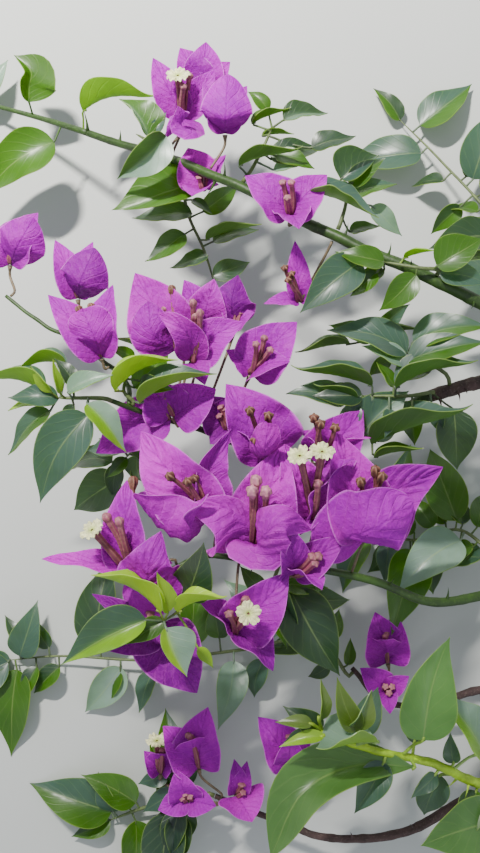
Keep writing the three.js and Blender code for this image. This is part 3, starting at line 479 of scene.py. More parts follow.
def linear(name):
    """A tint as light, from 0 to 1."""
    share = np.array(TINTS[name]) / 255
    return np.where(share < 0.04045, share / 12.92, ((share + 0.055) / 1.055) ** 2.4)


def seeded(seed):
    """The same numbers for the same seed, from 0 to 1, as in the part."""
    state = [seed]
    mask = 0xFFFFFFFF

    def draw():
        state[0] = (state[0] + 0x6D2B79F5) & mask
        mixing = ((state[0] ^ (state[0] >> 15)) * (state[0] | 1)) & mask
        mixing ^= (mixing + ((mixing ^ (mixing >> 7)) * (mixing | 61) & mask)) & mask
        return ((mixing ^ (mixing >> 14)) & mask) / 4294967296

    return draw


def dice(name):
    """Seeded randomness of its own for each named thing."""
    return np.random.default_rng(zlib.crc32(name.encode()))


def ripples(random, count, low, high):
    """A smooth random relief, as a sum of waves that run in random directions."""
    waves = [(random.uniform(low, high), random.uniform(0, math.pi), random.uniform(0, 6.28)) for _ in range(count)]

    def height(x, y):
        total = sum(np.sin(rate * (x * math.cos(way) + y * math.sin(way)) + phase) for rate, way, phase in waves)
        return total / math.sqrt(count)

    return height


# Curves

class Bend:
    """A smooth curve through points, measured by its length from 0 to 1."""

    def __init__(self, points, steps=24):
        p = np.array(points, float)
        p = np.vstack([2 * p[0] - p[1], p, 2 * p[-1] - p[-2]])
        runs = [self.segment(*p[i:i + 4], steps) for i in range(len(p) - 3)]
        self.points = np.vstack([*runs, p[-2:-1]])
        walked = np.concatenate([[0], np.cumsum(np.linalg.norm(np.diff(self.points, axis=0), axis=1))])
        self.length = walked[-1]
        self.shares = walked / walked[-1]

    @staticmethod
    def segment(p0, p1, p2, p3, steps):
        """The stretch from p1 to p2 of a centripetal Catmull-Rom curve."""
        d0, d1, d2 = (max(math.sqrt(np.linalg.norm(b - a)), 1e-6) for a, b in ((p0, p1), (p1, p2), (p2, p3)))
        t1 = ((p1 - p0) / d0 - (p2 - p0) / (d0 + d1) + (p2 - p1) / d1) * d1
        t2 = ((p2 - p1) / d1 - (p3 - p1) / (d1 + d2) + (p3 - p2) / d2) * d1
        t = np.linspace(0, 1, steps, endpoint=False)[:, None]
        return p1 + t1 * t + (3 * (p2 - p1) - 2 * t1 - t2) * t ** 2 + (2 * (p1 - p2) + t1 + t2) * t ** 3

    def at(self, share):
        return np.stack([np.interp(share, self.shares, self.points[:, k]) for k in range(3)], axis=-1)

    def along(self, share):
        return units(self.at(np.minimum(np.add(share, 0.004), 1)) - self.at(np.maximum(np.subtract(share, 0.004), 0)))

    def nearest(self, point):
        shares = np.linspace(0, 1, 201)
        return shares[np.argmin(np.linalg.norm(self.at(shares) - point, axis=1))]


def carried(points, first):
    """Two directions square to a curve at each of its points: the first one, carried along with no twist, and aside."""
    runs = units(np.gradient(points, axis=0))
    ups = np.zeros_like(points)
    up = np.array(first, float)
    for i, run in enumerate(runs):
        up = unit(up - run * (up @ run))
        ups[i] = up
    return ups, np.cross(runs, ups)


# Meshes

class Piece:
    """One mesh in the making, from skins: points, faces, places on the skin, tints, underside, rim and bake places."""

    def __init__(self, name):
        self.name = name
        self.skins = []

    def add(self, *skin):
        self.skins.append(skin)

    def build(self, material, slot, nodes=()):
        """Makes the object. Its bake map gives each skin a cell of its own."""
        starts = np.cumsum([0, *(len(skin[0]) for skin in self.skins[:-1])])
        points, faces, place, tint, under, rim, corners = zip(*self.skins)
        faces = np.concatenate([part + start for part, start in zip(faces, starts)])
        cells = math.ceil(math.sqrt(len(starts)))
        corners = np.concatenate([
            (part * 0.96 + 0.02 + (k % cells, k // cells)) / cells for k, part in enumerate(corners)])
        points, place, tint, under, rim = map(np.concatenate, (points, place, tint, under, rim))
        mesh = bpy.data.meshes.new(self.name)
        mesh.from_pydata(points.tolist(), [], faces.tolist())
        for name, spread in (("blade", place[faces.reshape(-1)]), ("OFBake", corners.reshape(-1, 2))):
            mesh.uv_layers.new(name=name).data.foreach_set("uv", spread.astype(np.float32).ravel())
        mesh.attributes.new("tint", "FLOAT_COLOR", "POINT").data.foreach_set(
            "color", np.hstack([tint, np.ones((len(tint), 1))]).astype(np.float32).ravel())
        mesh.attributes.new("under", "FLOAT", "POINT").data.foreach_set("value", under.astype(np.float32))
        mesh.shade_smooth()
        ends = np.zeros(len(mesh.edges) * 2, int)
        mesh.edges.foreach_get("vertices", ends)
        mesh.attributes.new("sharp_edge", "BOOLEAN", "EDGE").data.foreach_set(
            "value", rim[ends].reshape(-1, 2).all(axis=1))
        mesh.materials.append(material)
        piece = bpy.data.objects.new(self.name, mesh)
        bpy.context.scene.collection.objects.link(piece)
        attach(piece, "root")
        if nodes:
            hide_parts(*nodes)


def grid_faces(rows, columns, closed=False):
    """The quads of a grid of points, which may close on itself across."""
    i = np.arange(rows - 1)[:, None]
    j = np.arange(columns if closed else columns - 1)[None, :]
    k = (j + 1) % columns
    quads = [i * columns + j, i * columns + k, (i + 1) * columns + k, (i + 1) * columns + j]
    return np.stack([np.broadcast_to(q, (rows - 1, j.shape[1])) for q in quads], axis=-1).reshape(-1, 4)


def grid_corners(rows, columns, low, high):
    """Where the quads of an open grid lie in a cell of the bake map."""
    x = np.linspace(low[0], high[0], columns)
    y = np.linspace(low[1], high[1], rows)
    return np.stack(np.meshgrid(x, y), axis=-1).reshape(-1, 2)[grid_faces(rows, columns)]


def add_sheet(piece, top, normals, thick, place, tint, under_tint):
    """A thin closed sheet from a grid of points: its upper side, its underside and its rim."""
    rows, columns = top.shape[:2]
    count = rows * columns
    half = normals * thick / 2
    index = np.arange(count).reshape(rows, columns)
    ring = np.concatenate([index[0, :-1], index[:-1, -1], index[-1, :0:-1], index[:0:-1, 0]])
    after = np.roll(ring, -1)
    edge = np.zeros(count, bool)
    edge[ring] = True
    strip = np.linspace(0, 1, len(ring) + 1)
    low, high = np.full(len(ring), 0.0), np.full(len(ring), 0.03)
    rim_ends = ((strip[:-1], low), (strip[1:], low), (strip[1:], high), (strip[:-1], high))
    piece.add(
        np.concatenate([(top + half).reshape(-1, 3), (top - half).reshape(-1, 3)]),
        np.concatenate([grid_faces(rows, columns)[:, ::-1], grid_faces(rows, columns) + count,
                        np.stack([ring, after, after + count, ring + count], axis=1)]),
        np.concatenate([place.reshape(-1, 2)] * 2),
        np.concatenate([tint.reshape(-1, 3), under_tint.reshape(-1, 3)]),
        np.repeat([0.0, 1.0], count), np.concatenate([edge, edge]),
        np.concatenate([
            grid_corners(rows, columns, (0, 0.06), (0.48, 1))[:, ::-1],
            grid_corners(rows, columns, (0.52, 0.06), (1, 1)),
            np.stack([np.stack(end, 1) for end in rim_ends], axis=1)]))


def add_tube(piece, path, radii, tint, sides):
    """A closed tube round a row of points. radii has a number for each point and each side, or one for each point."""
    rows = len(path)
    count = rows * sides
    last = count - sides
    radii = np.broadcast_to(np.asarray(radii).reshape(rows, -1), (rows, sides))
    up, aside = carried(path, (0.3, 0.2, 1))
    turn = around(sides)
    ring = np.cos(turn)[None, :, None] * up[:, None, :] + np.sin(turn)[None, :, None] * aside[:, None, :]
    points = path[:, None, :] + ring * radii[:, :, None]
    j = np.arange(0, sides, 2)
    low = np.stack([np.full(len(j), count), (j + 2) % sides, (j + 1) % sides, j], axis=1)
    high = np.stack([np.full(len(j), count + 1), last + j, last + (j + 1) % sides, last + (j + 2) % sides], axis=1)
    place = np.stack(np.meshgrid(np.linspace(0, 1, sides), np.linspace(0, 1, rows)), axis=-1).reshape(-1, 2)
    tint = np.asarray(tint, float)
    tint = tint if tint.ndim == 3 else np.broadcast_to(tint, (rows, 3))[:, None, :]
    tints = np.broadcast_to(tint, (rows, sides, 3)).reshape(-1, 3)
    cap = np.vstack([np.stack([np.cos(turn), np.sin(turn)], axis=1) * 0.04, [[0, 0]]])
    caps = [(cap + centre)[np.where(faces >= count, sides, faces - first)]
            for faces, centre, first in ((low, (0.1, 0.05), 0), (high, (0.3, 0.05), last))]
    piece.add(
        np.concatenate([points.reshape(-1, 3), path[:1], path[-1:]]),
        np.concatenate([grid_faces(rows, sides, closed=True), low, high]),
        np.concatenate([place, [[0.5, 0], [0.5, 1]]]), np.concatenate([tints, tints[:1], tints[-1:]]),
        np.zeros(count + 2), np.zeros(count + 2, bool),
        np.concatenate([grid_corners(rows, sides + 1, (0, 0.1), (1, 1)), *caps]))


# Blades: leaves and bracts

def outline(along, foot_power, tip_power):
    """How wide a blade is along its length, at most 1: low powers give a broad foot or tip."""
    widest = foot_power / (foot_power + tip_power)
    most = widest ** foot_power * (1 - widest) ** tip_power
    return along ** foot_power * (1 - along) ** tip_power / most


def blade(piece, random, foot, tip, far, near, look):
    """A leaf or a bract from its foot to its tip. Its halves have two tints: far is that of the half further up.
    Where they differ, they paint light and shade on the two halves.
    """
    rows, columns = look["grid"]
    run = tip - foot
    length = np.linalg.norm(run)
    run = run / length
    face = np.array(look["face"], float)
    t = np.linspace(0, 1, rows)
    t = mixed(t, (1 - np.cos(t * math.pi)) / 2, 0.35)
    if "via" in look:
        spine = Bend([foot, *map(spot, look["via"]), tip])
        centre, length = spine.at(t), spine.length
    else:
        up = unit(face - run * np.dot(face, run))
        rise = 4 * look["arch"] * length * (t * (1 - t)) - look["droop"] * length * (t ** 3 - t ** 5) * 2
        sway = look["sway"] * length * np.sin(t * math.pi)
        centre = foot + np.outer(t * length, run) + np.outer(rise, up) + np.outer(sway, np.cross(run, up))
    runs = units(np.gradient(centre, axis=0))
    facing = unit(face)
    ups = units(facing - runs * (runs @ facing)[:, None], 0.05)
    sides = np.cross(runs, ups)
    turn = (look["twist"] * t)[:, None]
    ups, sides = ups * np.cos(turn) + sides * np.sin(turn), sides * np.cos(turn) - ups * np.sin(turn)
    half = np.maximum(length * look["wide"] * outline(t, *look["shape"]), mixed(0.5, 0.1, t) * MM)[:, None]

    # Across the blade: cup, fold along the midrib, waved margins, crumpling and quilting between the veins
    s = np.linspace(-1, 1, columns)
    down = t[:, None]
    cup = look["cup"] * (0.4 + 0.6 * np.sin(down * math.pi))
    aside = np.sin(cup * s) / cup * (1 + look["lopsided"] * np.tanh(4 * s))
    rise = (1 - np.cos(cup * s)) / cup + look["fold"] * (np.sqrt(s ** 2 + 0.01) - 0.1) * (1 - 0.6 * down ** 3)
    waves = random.uniform(1.6, 3.2)
    phases = np.where(s < 0, *random.uniform(0, 6.28, 2))
    rise = rise + look["wave"] * np.abs(s) ** 2.2 * np.sin(waves * 6.28 * down + phases)
    relief = ripples(random, 5, 5, 16)(s[None, :] * look["wide"], down)
    quilts = look["quilts"] * (down - 0.34 * np.abs(s) ** 0.8)
    crease = np.abs(np.sin(quilts * math.pi + 0.7 * relief)) * np.clip(1.6 - 1.6 * np.abs(s), 0, 1) ** 0.5
    crumple = look["crumple"] * length * (0.5 * relief + crease) * np.sin(down * math.pi) ** 0.5 * 0.5
    surface = (centre[:, None, :] + sides[:, None, :] * (aside * half)[..., None]
               + ups[:, None, :] * (rise * half + crumple)[..., None])
    normals = units(np.cross(np.gradient(surface, axis=1), np.gradient(surface, axis=0)))

    place = np.stack(np.broadcast_arrays(((s + 1) / 2)[None, :], down), axis=-1)
    # The half further up takes the far tint and the other half the near tint, which paints light and shade across the
    # fold
    share = 1 / (1 + np.exp(s * (-14 if sides[rows // 2][1] > 0 else 14)))
    tint = mixed(near, far, share[None, :, None] * np.ones((rows, 1, 1)))
    tint = tint * (1 - look["foot_shade"] * (1 - t)[:, None, None] ** 2)
    lower = mixed(tint, linear(look["under"]), 0.8) if "under" in look else tint
    add_sheet(piece, surface, normals, look["thick"] * MM, place, tint, lower)


# Stems

bends = {}
radii = {}


def grown(entry):
    """The curve of an entry from the stem that carries it, past the stem's end or from its side."""
    points = [spot(place) for place in entry["spots"]]
    if "after" in entry:
        bend = bends[entry["after"]]
        points[:0] = [bend.at(1) + bend.along(1) * step * MM for step in (GAP, GAP + LEAD)]
    elif "beside" in entry:
        points[:0] = lead(entry["beside"], points[0])
    return Bend(points)


def lead(stem, towards):
    """The two points that lead a stalk out of the side of its stem."""
    bend = bends[stem]
    share = min(max(bend.nearest(towards), 0.02), 0.98)
    centre, run = bend.at(share), bend.along(share)
    away = towards - centre
    away = unit(away - run * (away @ run))
    start = centre + away * (mixed(*radii[stem], share) + GAP) * MM
    room = min(LEAD * MM, np.linalg.norm(towards - start) / 2)
    return [start, start + away * room]


def thorn(piece, bend, share, radius, way, long, tint):
    """A thorn that stands out of a stem, bent a little along it."""
    foot = bend.at(share)
    run = bend.along(share)
    out = unit(np.array(way, float) - run * np.dot(way, run))
    points = Bend([foot + out * radius * 0.4, foot + out * (radius + long * 0.4) + run * long * 0.04,
                   foot + out * (radius + long) + run * long * 0.2]).at(np.linspace(0, 1, 7))
    add_tube(piece, points, np.array([1.5, 1.1, 0.78, 0.56, 0.38, 0.2, 0.04]) * 0.8 * MM, tint, 8)


def grow_stem(name, entry, kind):
    """A stem with bark relief, swellings where leaves left it, and thorns."""
    random = dice(name)
    bend = bends[name] = grown(entry)
    radii[name] = entry["thick"]
    t = np.linspace(0, 1, max(24, int(bend.length / (STEM_STEP * MM))))
    sway = np.array([0.3, 0.3, 0.2]) * MM
    path = bend.at(t) + ripples(random, 4, 20, 60)(t, 0)[:, None] * sway * np.sin(t * math.pi)[:, None]
    turn = around(kind["sides"])
    rough = ripples(random, 9, 3, 9)(turn[None, :], t[:, None] * bend.length / MM * 0.12)
    ridges = np.cos(turn * kind["ridges"] + ripples(random, 3, 10, 30)(t, 0)[:, None])
    knots = np.zeros((len(t), 1))
    for share in np.arange(random.uniform(0.03, 0.08), 0.97, KNOTS_APART * MM / bend.length):
        knots += kind["knot"] * np.exp(-(((t[:, None] - share) * bend.length / (KNOT_LENGTH * MM)) ** 2))
    relief = kind["rough"] * rough + kind["ridge"] * ridges
    widths = mixed(*entry["thick"], t)[:, None] * MM * (0.97 + relief + 0.12 * knots)
    piece = Piece(name + "_bark")
    tint = linear(entry["tint"])
    tints = tint * (1 + 0.15 * ripples(random, 4, 15, 40)(t, 0)[:, None]) * (1 - kind["knot_shade"] * knots)
    add_tube(piece, path, widths, np.clip(tints, 0, 1), kind["sides"])
    for place in entry.get("thorns", []):
        share = bend.nearest(spot(place))
        way = spot(place) - bend.at(share)
        thorn(piece, bend, share, mixed(*entry["thick"], share) * MM, way, np.linalg.norm(way) * 0.8, tint * 1.2)
    for k, share in enumerate(np.arange(0.08, 0.95, THORNS_APART * MM / bend.length)):
        way = (random.uniform(-1, 1), random.uniform(-0.4, 1), random.uniform(0, 1))
        radius = mixed(*entry["thick"], share) * MM
        if radius > THINNEST_THORNY * MM:
            thorn(piece, bend, share, radius, way, random.uniform(*THORN_LENGTHS) * MM, tint * (0.75 if k % 2 else 1.1))
    return piece


# Blooms

def flower_tube(piece, points, widths, lobes, colours, rough=1, girth=1):
    """A flower's tube, with five ribs that stand out by lobes and show paler."""
    wave = np.cos(5 * around(20))[None, :]
    ribs = (1 + lobes * wave) * rough
    paler = (0.45 * (0.5 + 0.5 * wave) ** 2)[..., None]
    add_tube(piece, points, widths[:, None] * ribs * girth * FLOWER["girth"] * MM,
             mixed(colours[:, None, :], linear("rib"), paler), 20)


def bud(piece, random, base, head, tube_tint, kind, girth):
    """A tubular flower: five ribs, a swelling below and a folded bud, or what is left of the flower, at its head."""
    form = HEADS[kind]
    run = head - base
    aside = unit(np.cross(run, (random.uniform(-1, 1), random.uniform(-1, 1), 0.3)))
    path = Bend([base, base + run * 0.5 + aside * np.linalg.norm(run) * 0.05, head])
    t = np.concatenate([np.linspace(0, 0.84, 11), np.linspace(0.86, 1, 9)])
    widths = np.interp(t, [0, 0.12, 0.32, 0.55, 0.78, 0.86, 0.9, 0.94, 0.975, 1],
                       [0.75, 1.05, 1.25, 0.95, 0.9, *form["profile"]]) * form["girth"]
    rough = 1 + 0.12 * (t > 0.86)[:, None] * random.uniform(-1, 1, (len(t), 20)) if kind == "dry" else 1
    knob = linear(form["tint"]) * random.uniform(0.85, 1.2)
    colours = np.where((t < 0.84)[:, None], tube_tint * (0.75 + 0.5 * t)[:, None], knob)
    lobes = np.where(t < 0.86, 0.13, form["lobes"])[:, None]
    flower_tube(piece, path.at(t), widths, lobes, colours, rough, girth)


def star(tubes, stars, random, base, head, tube_tint):
    """An open flower: its tube, and a ruffled cream star of five notched lobes round a green throat."""
    t = np.linspace(0, 1, 12)
    widths = np.interp(t, [0, 0.12, 0.35, 0.6, 0.9, 1], [0.75, 1.05, 1.25, 0.95, 1.1, 1.5])
    flower_tube(tubes, Bend([base, mixed(base, head, 0.6), head]).at(t), widths, 0.13,
                tube_tint * (0.75 + 0.4 * t)[:, None])
    run = unit(head - base)
    up = unit(np.cross(run, (0.3, 1, 0.2)))
    aside = np.cross(run, up)
    rows, columns = 11, 91
    angle = np.linspace(0, 2 * math.pi, columns)
    r = np.linspace(0.12, 1, rows)[:, None]
    lobe = np.abs(np.cos(2.5 * angle))
    reach = (0.6 + 0.4 * lobe ** 0.5 - 0.1 * np.exp(-((lobe - 1) / 0.03) ** 2)) * FLOWER["star"] * MM
    ruffle = (0.6 * np.sin(15 * angle + random.uniform(0, 6)) + 0.9 * lobe - 0.4) * MM
    flat = r * reach
    rise = (1.6 * r ** 0.5 - 0.8 * r ** 3) * MM + ruffle * r ** 2
    points = (head + run * 0.2 * MM + up * (np.cos(angle) * flat)[..., None] + aside * (np.sin(angle) * flat)[..., None]
              + run * rise[..., None])
    points[:, -1] = points[:, 0]
    normals = units(np.cross(np.gradient(points, axis=1), np.gradient(points, axis=0)))
    normals[:, -1] = normals[:, 0]
    place = np.stack(np.broadcast_arrays((angle / 6.2832)[None, :], r), axis=-1)
    share = np.clip((r - 0.1) / 0.5, 0, 1)[..., None] ** 0.8
    ray = (0.25 * (1 - lobe) * (1 - r * 0.4))[..., None]
    tint = mixed(linear("throat"), linear("cream"), share * np.ones((1, columns, 1)) * (1 - ray))
    add_sheet(stars, points, normals, 0.25 * MM, place, tint, tint)


def grow_bloom(name, stem, foot, bracts, own, shell, tubes, stars, stalks):
    """Three bracts round their flowers, on a stalk from the stem."""
    random = dice(name)
    hero = name.startswith("main")
    base = spot(foot)
    ends = [spot(tip) for tip, _ in bracts]
    axis = np.array(own["opens"], float) if "opens" in own else unit(sum(unit(end - base) for end in ends))
    under = base - axis * BLOOM["lead"] * MM
    out = lead(stem, under)
    faces_its_stem = np.linalg.norm(under - out[0]) > np.linalg.norm(base - out[0])
    t = np.linspace(0, 1, 14)
    thick = BLOOM["stalk"] * (0.85 + 1.1 * np.maximum(t - 0.85, 0) * 5) * MM
    stalk = Bend([*out, base] if faces_its_stem else [*out, under, base])
    add_tube(stalks, stalk.at(t), thick, mixed(linear("twig"), linear("tube"), 0.35), 10)
    for end, (_, look) in zip(ends, bracts):
        end = spot(look["tip"]) if "tip" in look else end
        start = base + unit(end - base) * BLOOM["bract_foot"] * MM
        # A bract takes its own tint or its bloom's, where the lighter and deeper ones are painted light and painted
        # shade, and varies a little at random
        tint = linear(look.get("tint", own.get("tint", "bract"))) * (1 + random.uniform(-0.12, 0.12))
        leans = unit(end - base)[2] > axis[2] + 0.25
        face = axis if hero or leans else axis + np.array([0, 0, 0.8])
        blade(shell, random, start, end, tint, tint, {**(BRACT if hero else SMALL_BRACT), "face": face, **look})
    heads = [(spot(head), kind) for kind in own if kind == "star" or kind in HEADS for head in own[kind]]
    if not heads:
        reach = FLOWER_REACH * np.linalg.norm(ends[0] - base) * own.get("shy", 1)
        heads = [(base + axis * reach * random.uniform(0.85, 1) + unit(end - base) * FLOWERS_SPREAD * MM, "bud")
                 for end in ends]
    for k, (head, kind) in enumerate(heads):
        start = base + unit(ends[k % 3] - base) * FLOWER["apart"] * MM
        tint = linear("tube") * random.uniform(0.85, 1.15)
        if kind == "star":
            star(tubes, stars, random, start, head, tint)
        else:
            bud(tubes, random, start, head, tint, kind, 1 if hero else 0.8)


# Sprays of leaves

def fill_leaves(bend, seed, count):
    """Leaves by the part's rule: left and right of the twig in turn, at random lengths and slopes."""
    draw = seeded(seed)
    leaves = []
    for i in range(count):
        share = min(mixed(0.12, 1, (i + draw()) / count), 1)
        run = bend.along(share)
        way = np.array([-run[1], run[0], 0]) * (1 if i % 2 else -1) + run * mixed(-0.2, 1.1, draw())
        way[2] += mixed(-FILL_LEAF["climb"], FILL_LEAF["climb"], draw())
        way = unit(way)
        long = mixed(FILL_LEAF["shortest"], FILL_LEAF["longest"], draw()) * MM
        foot = bend.at(share) + way * FILL_LEAF["petiole"] * MM
        tip = foot + way * long
        tip[2] = max(tip[2], LOWEST_LEAF * MM)
        leaves.append((foot, tip, np.array([mixed(-0.4, 0.4, draw()), mixed(0, 0.6, draw()), 0.8])))
    return leaves


def small_leaves(random, bend, box, number):
    """Smaller leaves on short side twigs and one at the end, kept within the space of the mass."""
    low, high = np.array(box)
    leaves = []

    def fits(tip):
        return np.all(tip > low + MM) and np.all(tip < high - MM)

    for i in range(number):
        share = min((i + random.uniform(0.2, 0.9)) / number, 0.98)
        run = bend.along(share)
        side = np.array([-run[1], run[0], 0]) * (1 if i % 2 else -1)
        way = unit(side + run * random.uniform(-0.3, 1) + np.array([0, 0, random.uniform(-0.9, 0.25)]))
        foot = bend.at(share) + way * random.uniform(*SMALL_LEAF["petiole"]) * MM
        way = unit(way + np.array([0, 0, random.uniform(-0.3, 0.2)]))
        tip = foot + way * random.uniform(*SMALL_LEAF["length"]) * MM
        if fits(tip):
            leaves.append((foot, tip, np.array([random.uniform(-0.5, 0.5), random.uniform(0, 0.7), 0.8])))
    end = bend.at(1)
    tip = end + bend.along(1) * np.array([1, 1, 0]) * SMALL_LEAF["last"] * MM
    if fits(tip):
        leaves.append((end, tip, np.array([0, 0.3, 0.8])))
    return leaves


def grow_spray(name, leaves, twigs):
    """A twig with the leaves that its entry tells, those of the part's rule, and some smaller ones."""
    entry, *told = SPRAYS[name]
    random = dice(name)
    tint = linear(entry.get("tint", "twig"))
    if "along" in entry:
        bend = bends[entry["along"]]
    else:
        bend = grown(entry)
        t = np.linspace(0, 1, max(12, int(bend.length / (TWIG_STEP * MM))))
        slim = 0.97 if "after" in entry else 0.85
        thick = mixed(*entry.get("thick", TWIG_RADII), t) * slim * (1 - 0.7 * t ** 12) * MM
        add_tube(twigs, bend.at(t), thick, tint, 10)
    placed = [(spot(place[:3]), spot(place[3:6]), *place[6:], look) for place, look in told]
    if "fill" in entry:
        placed += [(*place, random.choice(FILL_TINTS), {}) for place in fill_leaves(bend, *entry["fill"])]
    number = SMALL_LEAVES_IN_FILL if "fill" in entry else entry.get("small", SMALL_LEAVES)
    small = small_leaves(random, bend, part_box(name), number)
    placed += [(*place, random.choice(SMALL_TINTS), {}) for place in small]
    for foot, tip, face, tints, look in placed:
        scale = random.uniform(0.88, 1.12)
        names = tints.split()
        far, near = linear(names[0]) * scale, linear(names[-1]) * scale
        own = {**LEAF, "face": face, "under": "under", "wide": LEAF["wide"] * random.uniform(0.92, 1.1),
               "arch": LEAF["arch"] * random.uniform(0.5, 1.5), "droop": random.uniform(0, 0.16),
               "sway": random.uniform(-0.05, 0.05)}
        # A folded leaf shows its first tint on both halves and its second underneath, where the brightest green is
        # painted backlight
        if face is AHEAD:
            own.update(FOLDED, under=names[-1])
            near = far
        blade(leaves, random, foot, tip, far, near, {**own, **look})
        start = bend.at(bend.nearest(foot))
        dip = 0.4 * MM - 0.3 * max(np.linalg.norm(foot - start) - 8 * MM, 0)
        stalk = Bend([start, mixed(start, foot, 0.6) + np.array([0, 0, dip]), foot, foot + unit(tip - foot) * 2 * MM])
        s = np.linspace(0, 1, 9)
        slender = (PETIOLE_RADIUS + 0.25 * np.abs(s - 0.5)) * entry.get("petiole", 1) * MM
        add_tube(twigs, stalk.at(s), slender, mixed(tint, far, 0.4), 8)


# Materials

class Nodes:
    """A short way to write a material's nodes."""

    def __init__(self, name):
        self.material = bpy.data.materials.new(name)
        self.material.use_nodes = True
        self.tree = self.material.node_tree
        self.tree.nodes.clear()

    def add(self, kind, settings=None, **inputs):
        """A node with its settings. An input is named, or is the letter i with its number."""
        node = self.tree.nodes.new("ShaderNode" + kind)
        for key, value in (settings or {}).items():
            setattr(node, key, value)
        for key, value in inputs.items():
            socket = node.inputs[int(key[1:]) if key[0] == "i" and key[1:].isdigit() else key.replace("_", " ")]
            if hasattr(value, "is_output"):
                self.tree.links.new(value, socket)
            else:
                socket.default_value = value
        return node

    def math(self, operation, *values):
        return self.add("Math", {"operation": operation}, **{f"i{k}": v for k, v in enumerate(values)}).outputs[0]

    def times(self, *values):
        return self.math("MULTIPLY", *values)

    def plus(self, *values):
        return self.math("ADD", *values)

    def mix(self, share, a, b, blend="MIX"):
        return self.add("Mix", {"data_type": "RGBA", "blend_type": blend}, i0=share, i6=a, i7=b).outputs[2]

    def coats(self, colour, *coats):
        """A colour under others, each told by where it shows, how much, and which it is."""
        for where, much, coat in coats:
            colour = self.mix(self.times(where, much), colour, coat)
        return colour

    def noise(self, scale, detail=3, roughness=0.5, output="Fac", **vector):
        return self.add("TexNoise", Scale=scale, Detail=detail, Roughness=roughness, **vector).outputs[output]

    def ramp(self, value, low, high):
        return self.add("MapRange", i0=value, i1=low, i2=high).outputs[0]

    def attribute(self, name, output="Color"):
        return self.add("Attribute", {"attribute_name": name}).outputs[output]

    def spots(self):
        return self.add("TexCoord").outputs["Object"]

    def blade(self):
        """How far from the midrib, from 0 to 1, and how far along the blade."""
        place = self.add("UVMap", {"uv_map": "blade"}).outputs[0]
        parts = self.add("SeparateXYZ", i0=place)
        return self.math("ABSOLUTE", self.math("MULTIPLY_ADD", parts.outputs[0], 2.0, -1.0)), parts.outputs[1]

    def side_veins(self, apart, along, number, slant):
        """Side veins that leave the midrib in pairs and bend towards the tip: 1 on a vein."""
        phase = self.times(self.math("SUBTRACT", along, self.times(self.math("POWER", apart, 0.8), slant)), number)
        wave = self.math("PINGPONG", self.plus(phase, self.times(self.noise(9.0, 1), 0.5)), 0.5)
        return self.ramp(wave, 0.1, 0.0)

    def finish(self, colour, rough, height=None, strength=0.4, distance=0.0005, glow=None, **body):
        """A skin with fine relief. Light shines through one that has a glow."""
        if height:
            body["Normal"] = self.add("Bump", Strength=strength, Distance=distance, Height=height).outputs[0]
        shader = self.add("BsdfPrincipled", Base_Color=colour, Roughness=rough, **body).outputs[0]
        if glow:
            through = self.add("BsdfTranslucent", Color=glow, Normal=body["Normal"]).outputs[0]
            shader = self.add("MixShader", i0=SHINES_THROUGH, i1=shader, i2=through).outputs[0]
        self.add("OutputMaterial", Surface=shader)
        return self.material


def leaf_material():
    """A glossy leaf: paler midrib, side veins and rim, and darker blotches."""
    n = Nodes("leaf")
    apart, along = n.blade()
    tint, under, spots = n.attribute("tint"), n.attribute("under", "Fac"), n.spots()
    rib = n.ramp(apart, 0.045, 0.012)
    veins = n.side_veins(apart, along, 7.0, 0.36)
    light = n.mix(0.45, tint, (0.42, 0.52, 0.16, 1))
    dark = n.mix(1.0, tint, (0.62, 0.72, 0.6, 1), "MULTIPLY")
    blotched = n.mix(n.ramp(n.noise(60.0, 3, Vector=spots), 0.35, 0.75), tint, dark)
    colour = n.coats(blotched, (veins, 0.16, light), (rib, 0.65, light),
                     (n.ramp(apart, 0.96, 1.0), 0.45, (*linear("rim"), 1)))
    height = n.plus(n.times(veins, -0.5), n.times(rib, -0.8))
    height = n.plus(n.times(height, n.math("MULTIPLY_ADD", under, -2.0, 1.0)),
                    n.times(n.noise(700.0, 2, Vector=spots), 0.25))
    rough = n.plus(n.math("MULTIPLY_ADD", n.noise(180.0, 2, Vector=spots), 0.14, 0.34), n.times(under, 0.16))
    return n.finish(colour, rough, height, 0.35, 0.0004, n.mix(0.6, colour, (0.55, 0.85, 0.0, 1)),
                    Coat_Weight=0.6, Coat_Roughness=0.3)


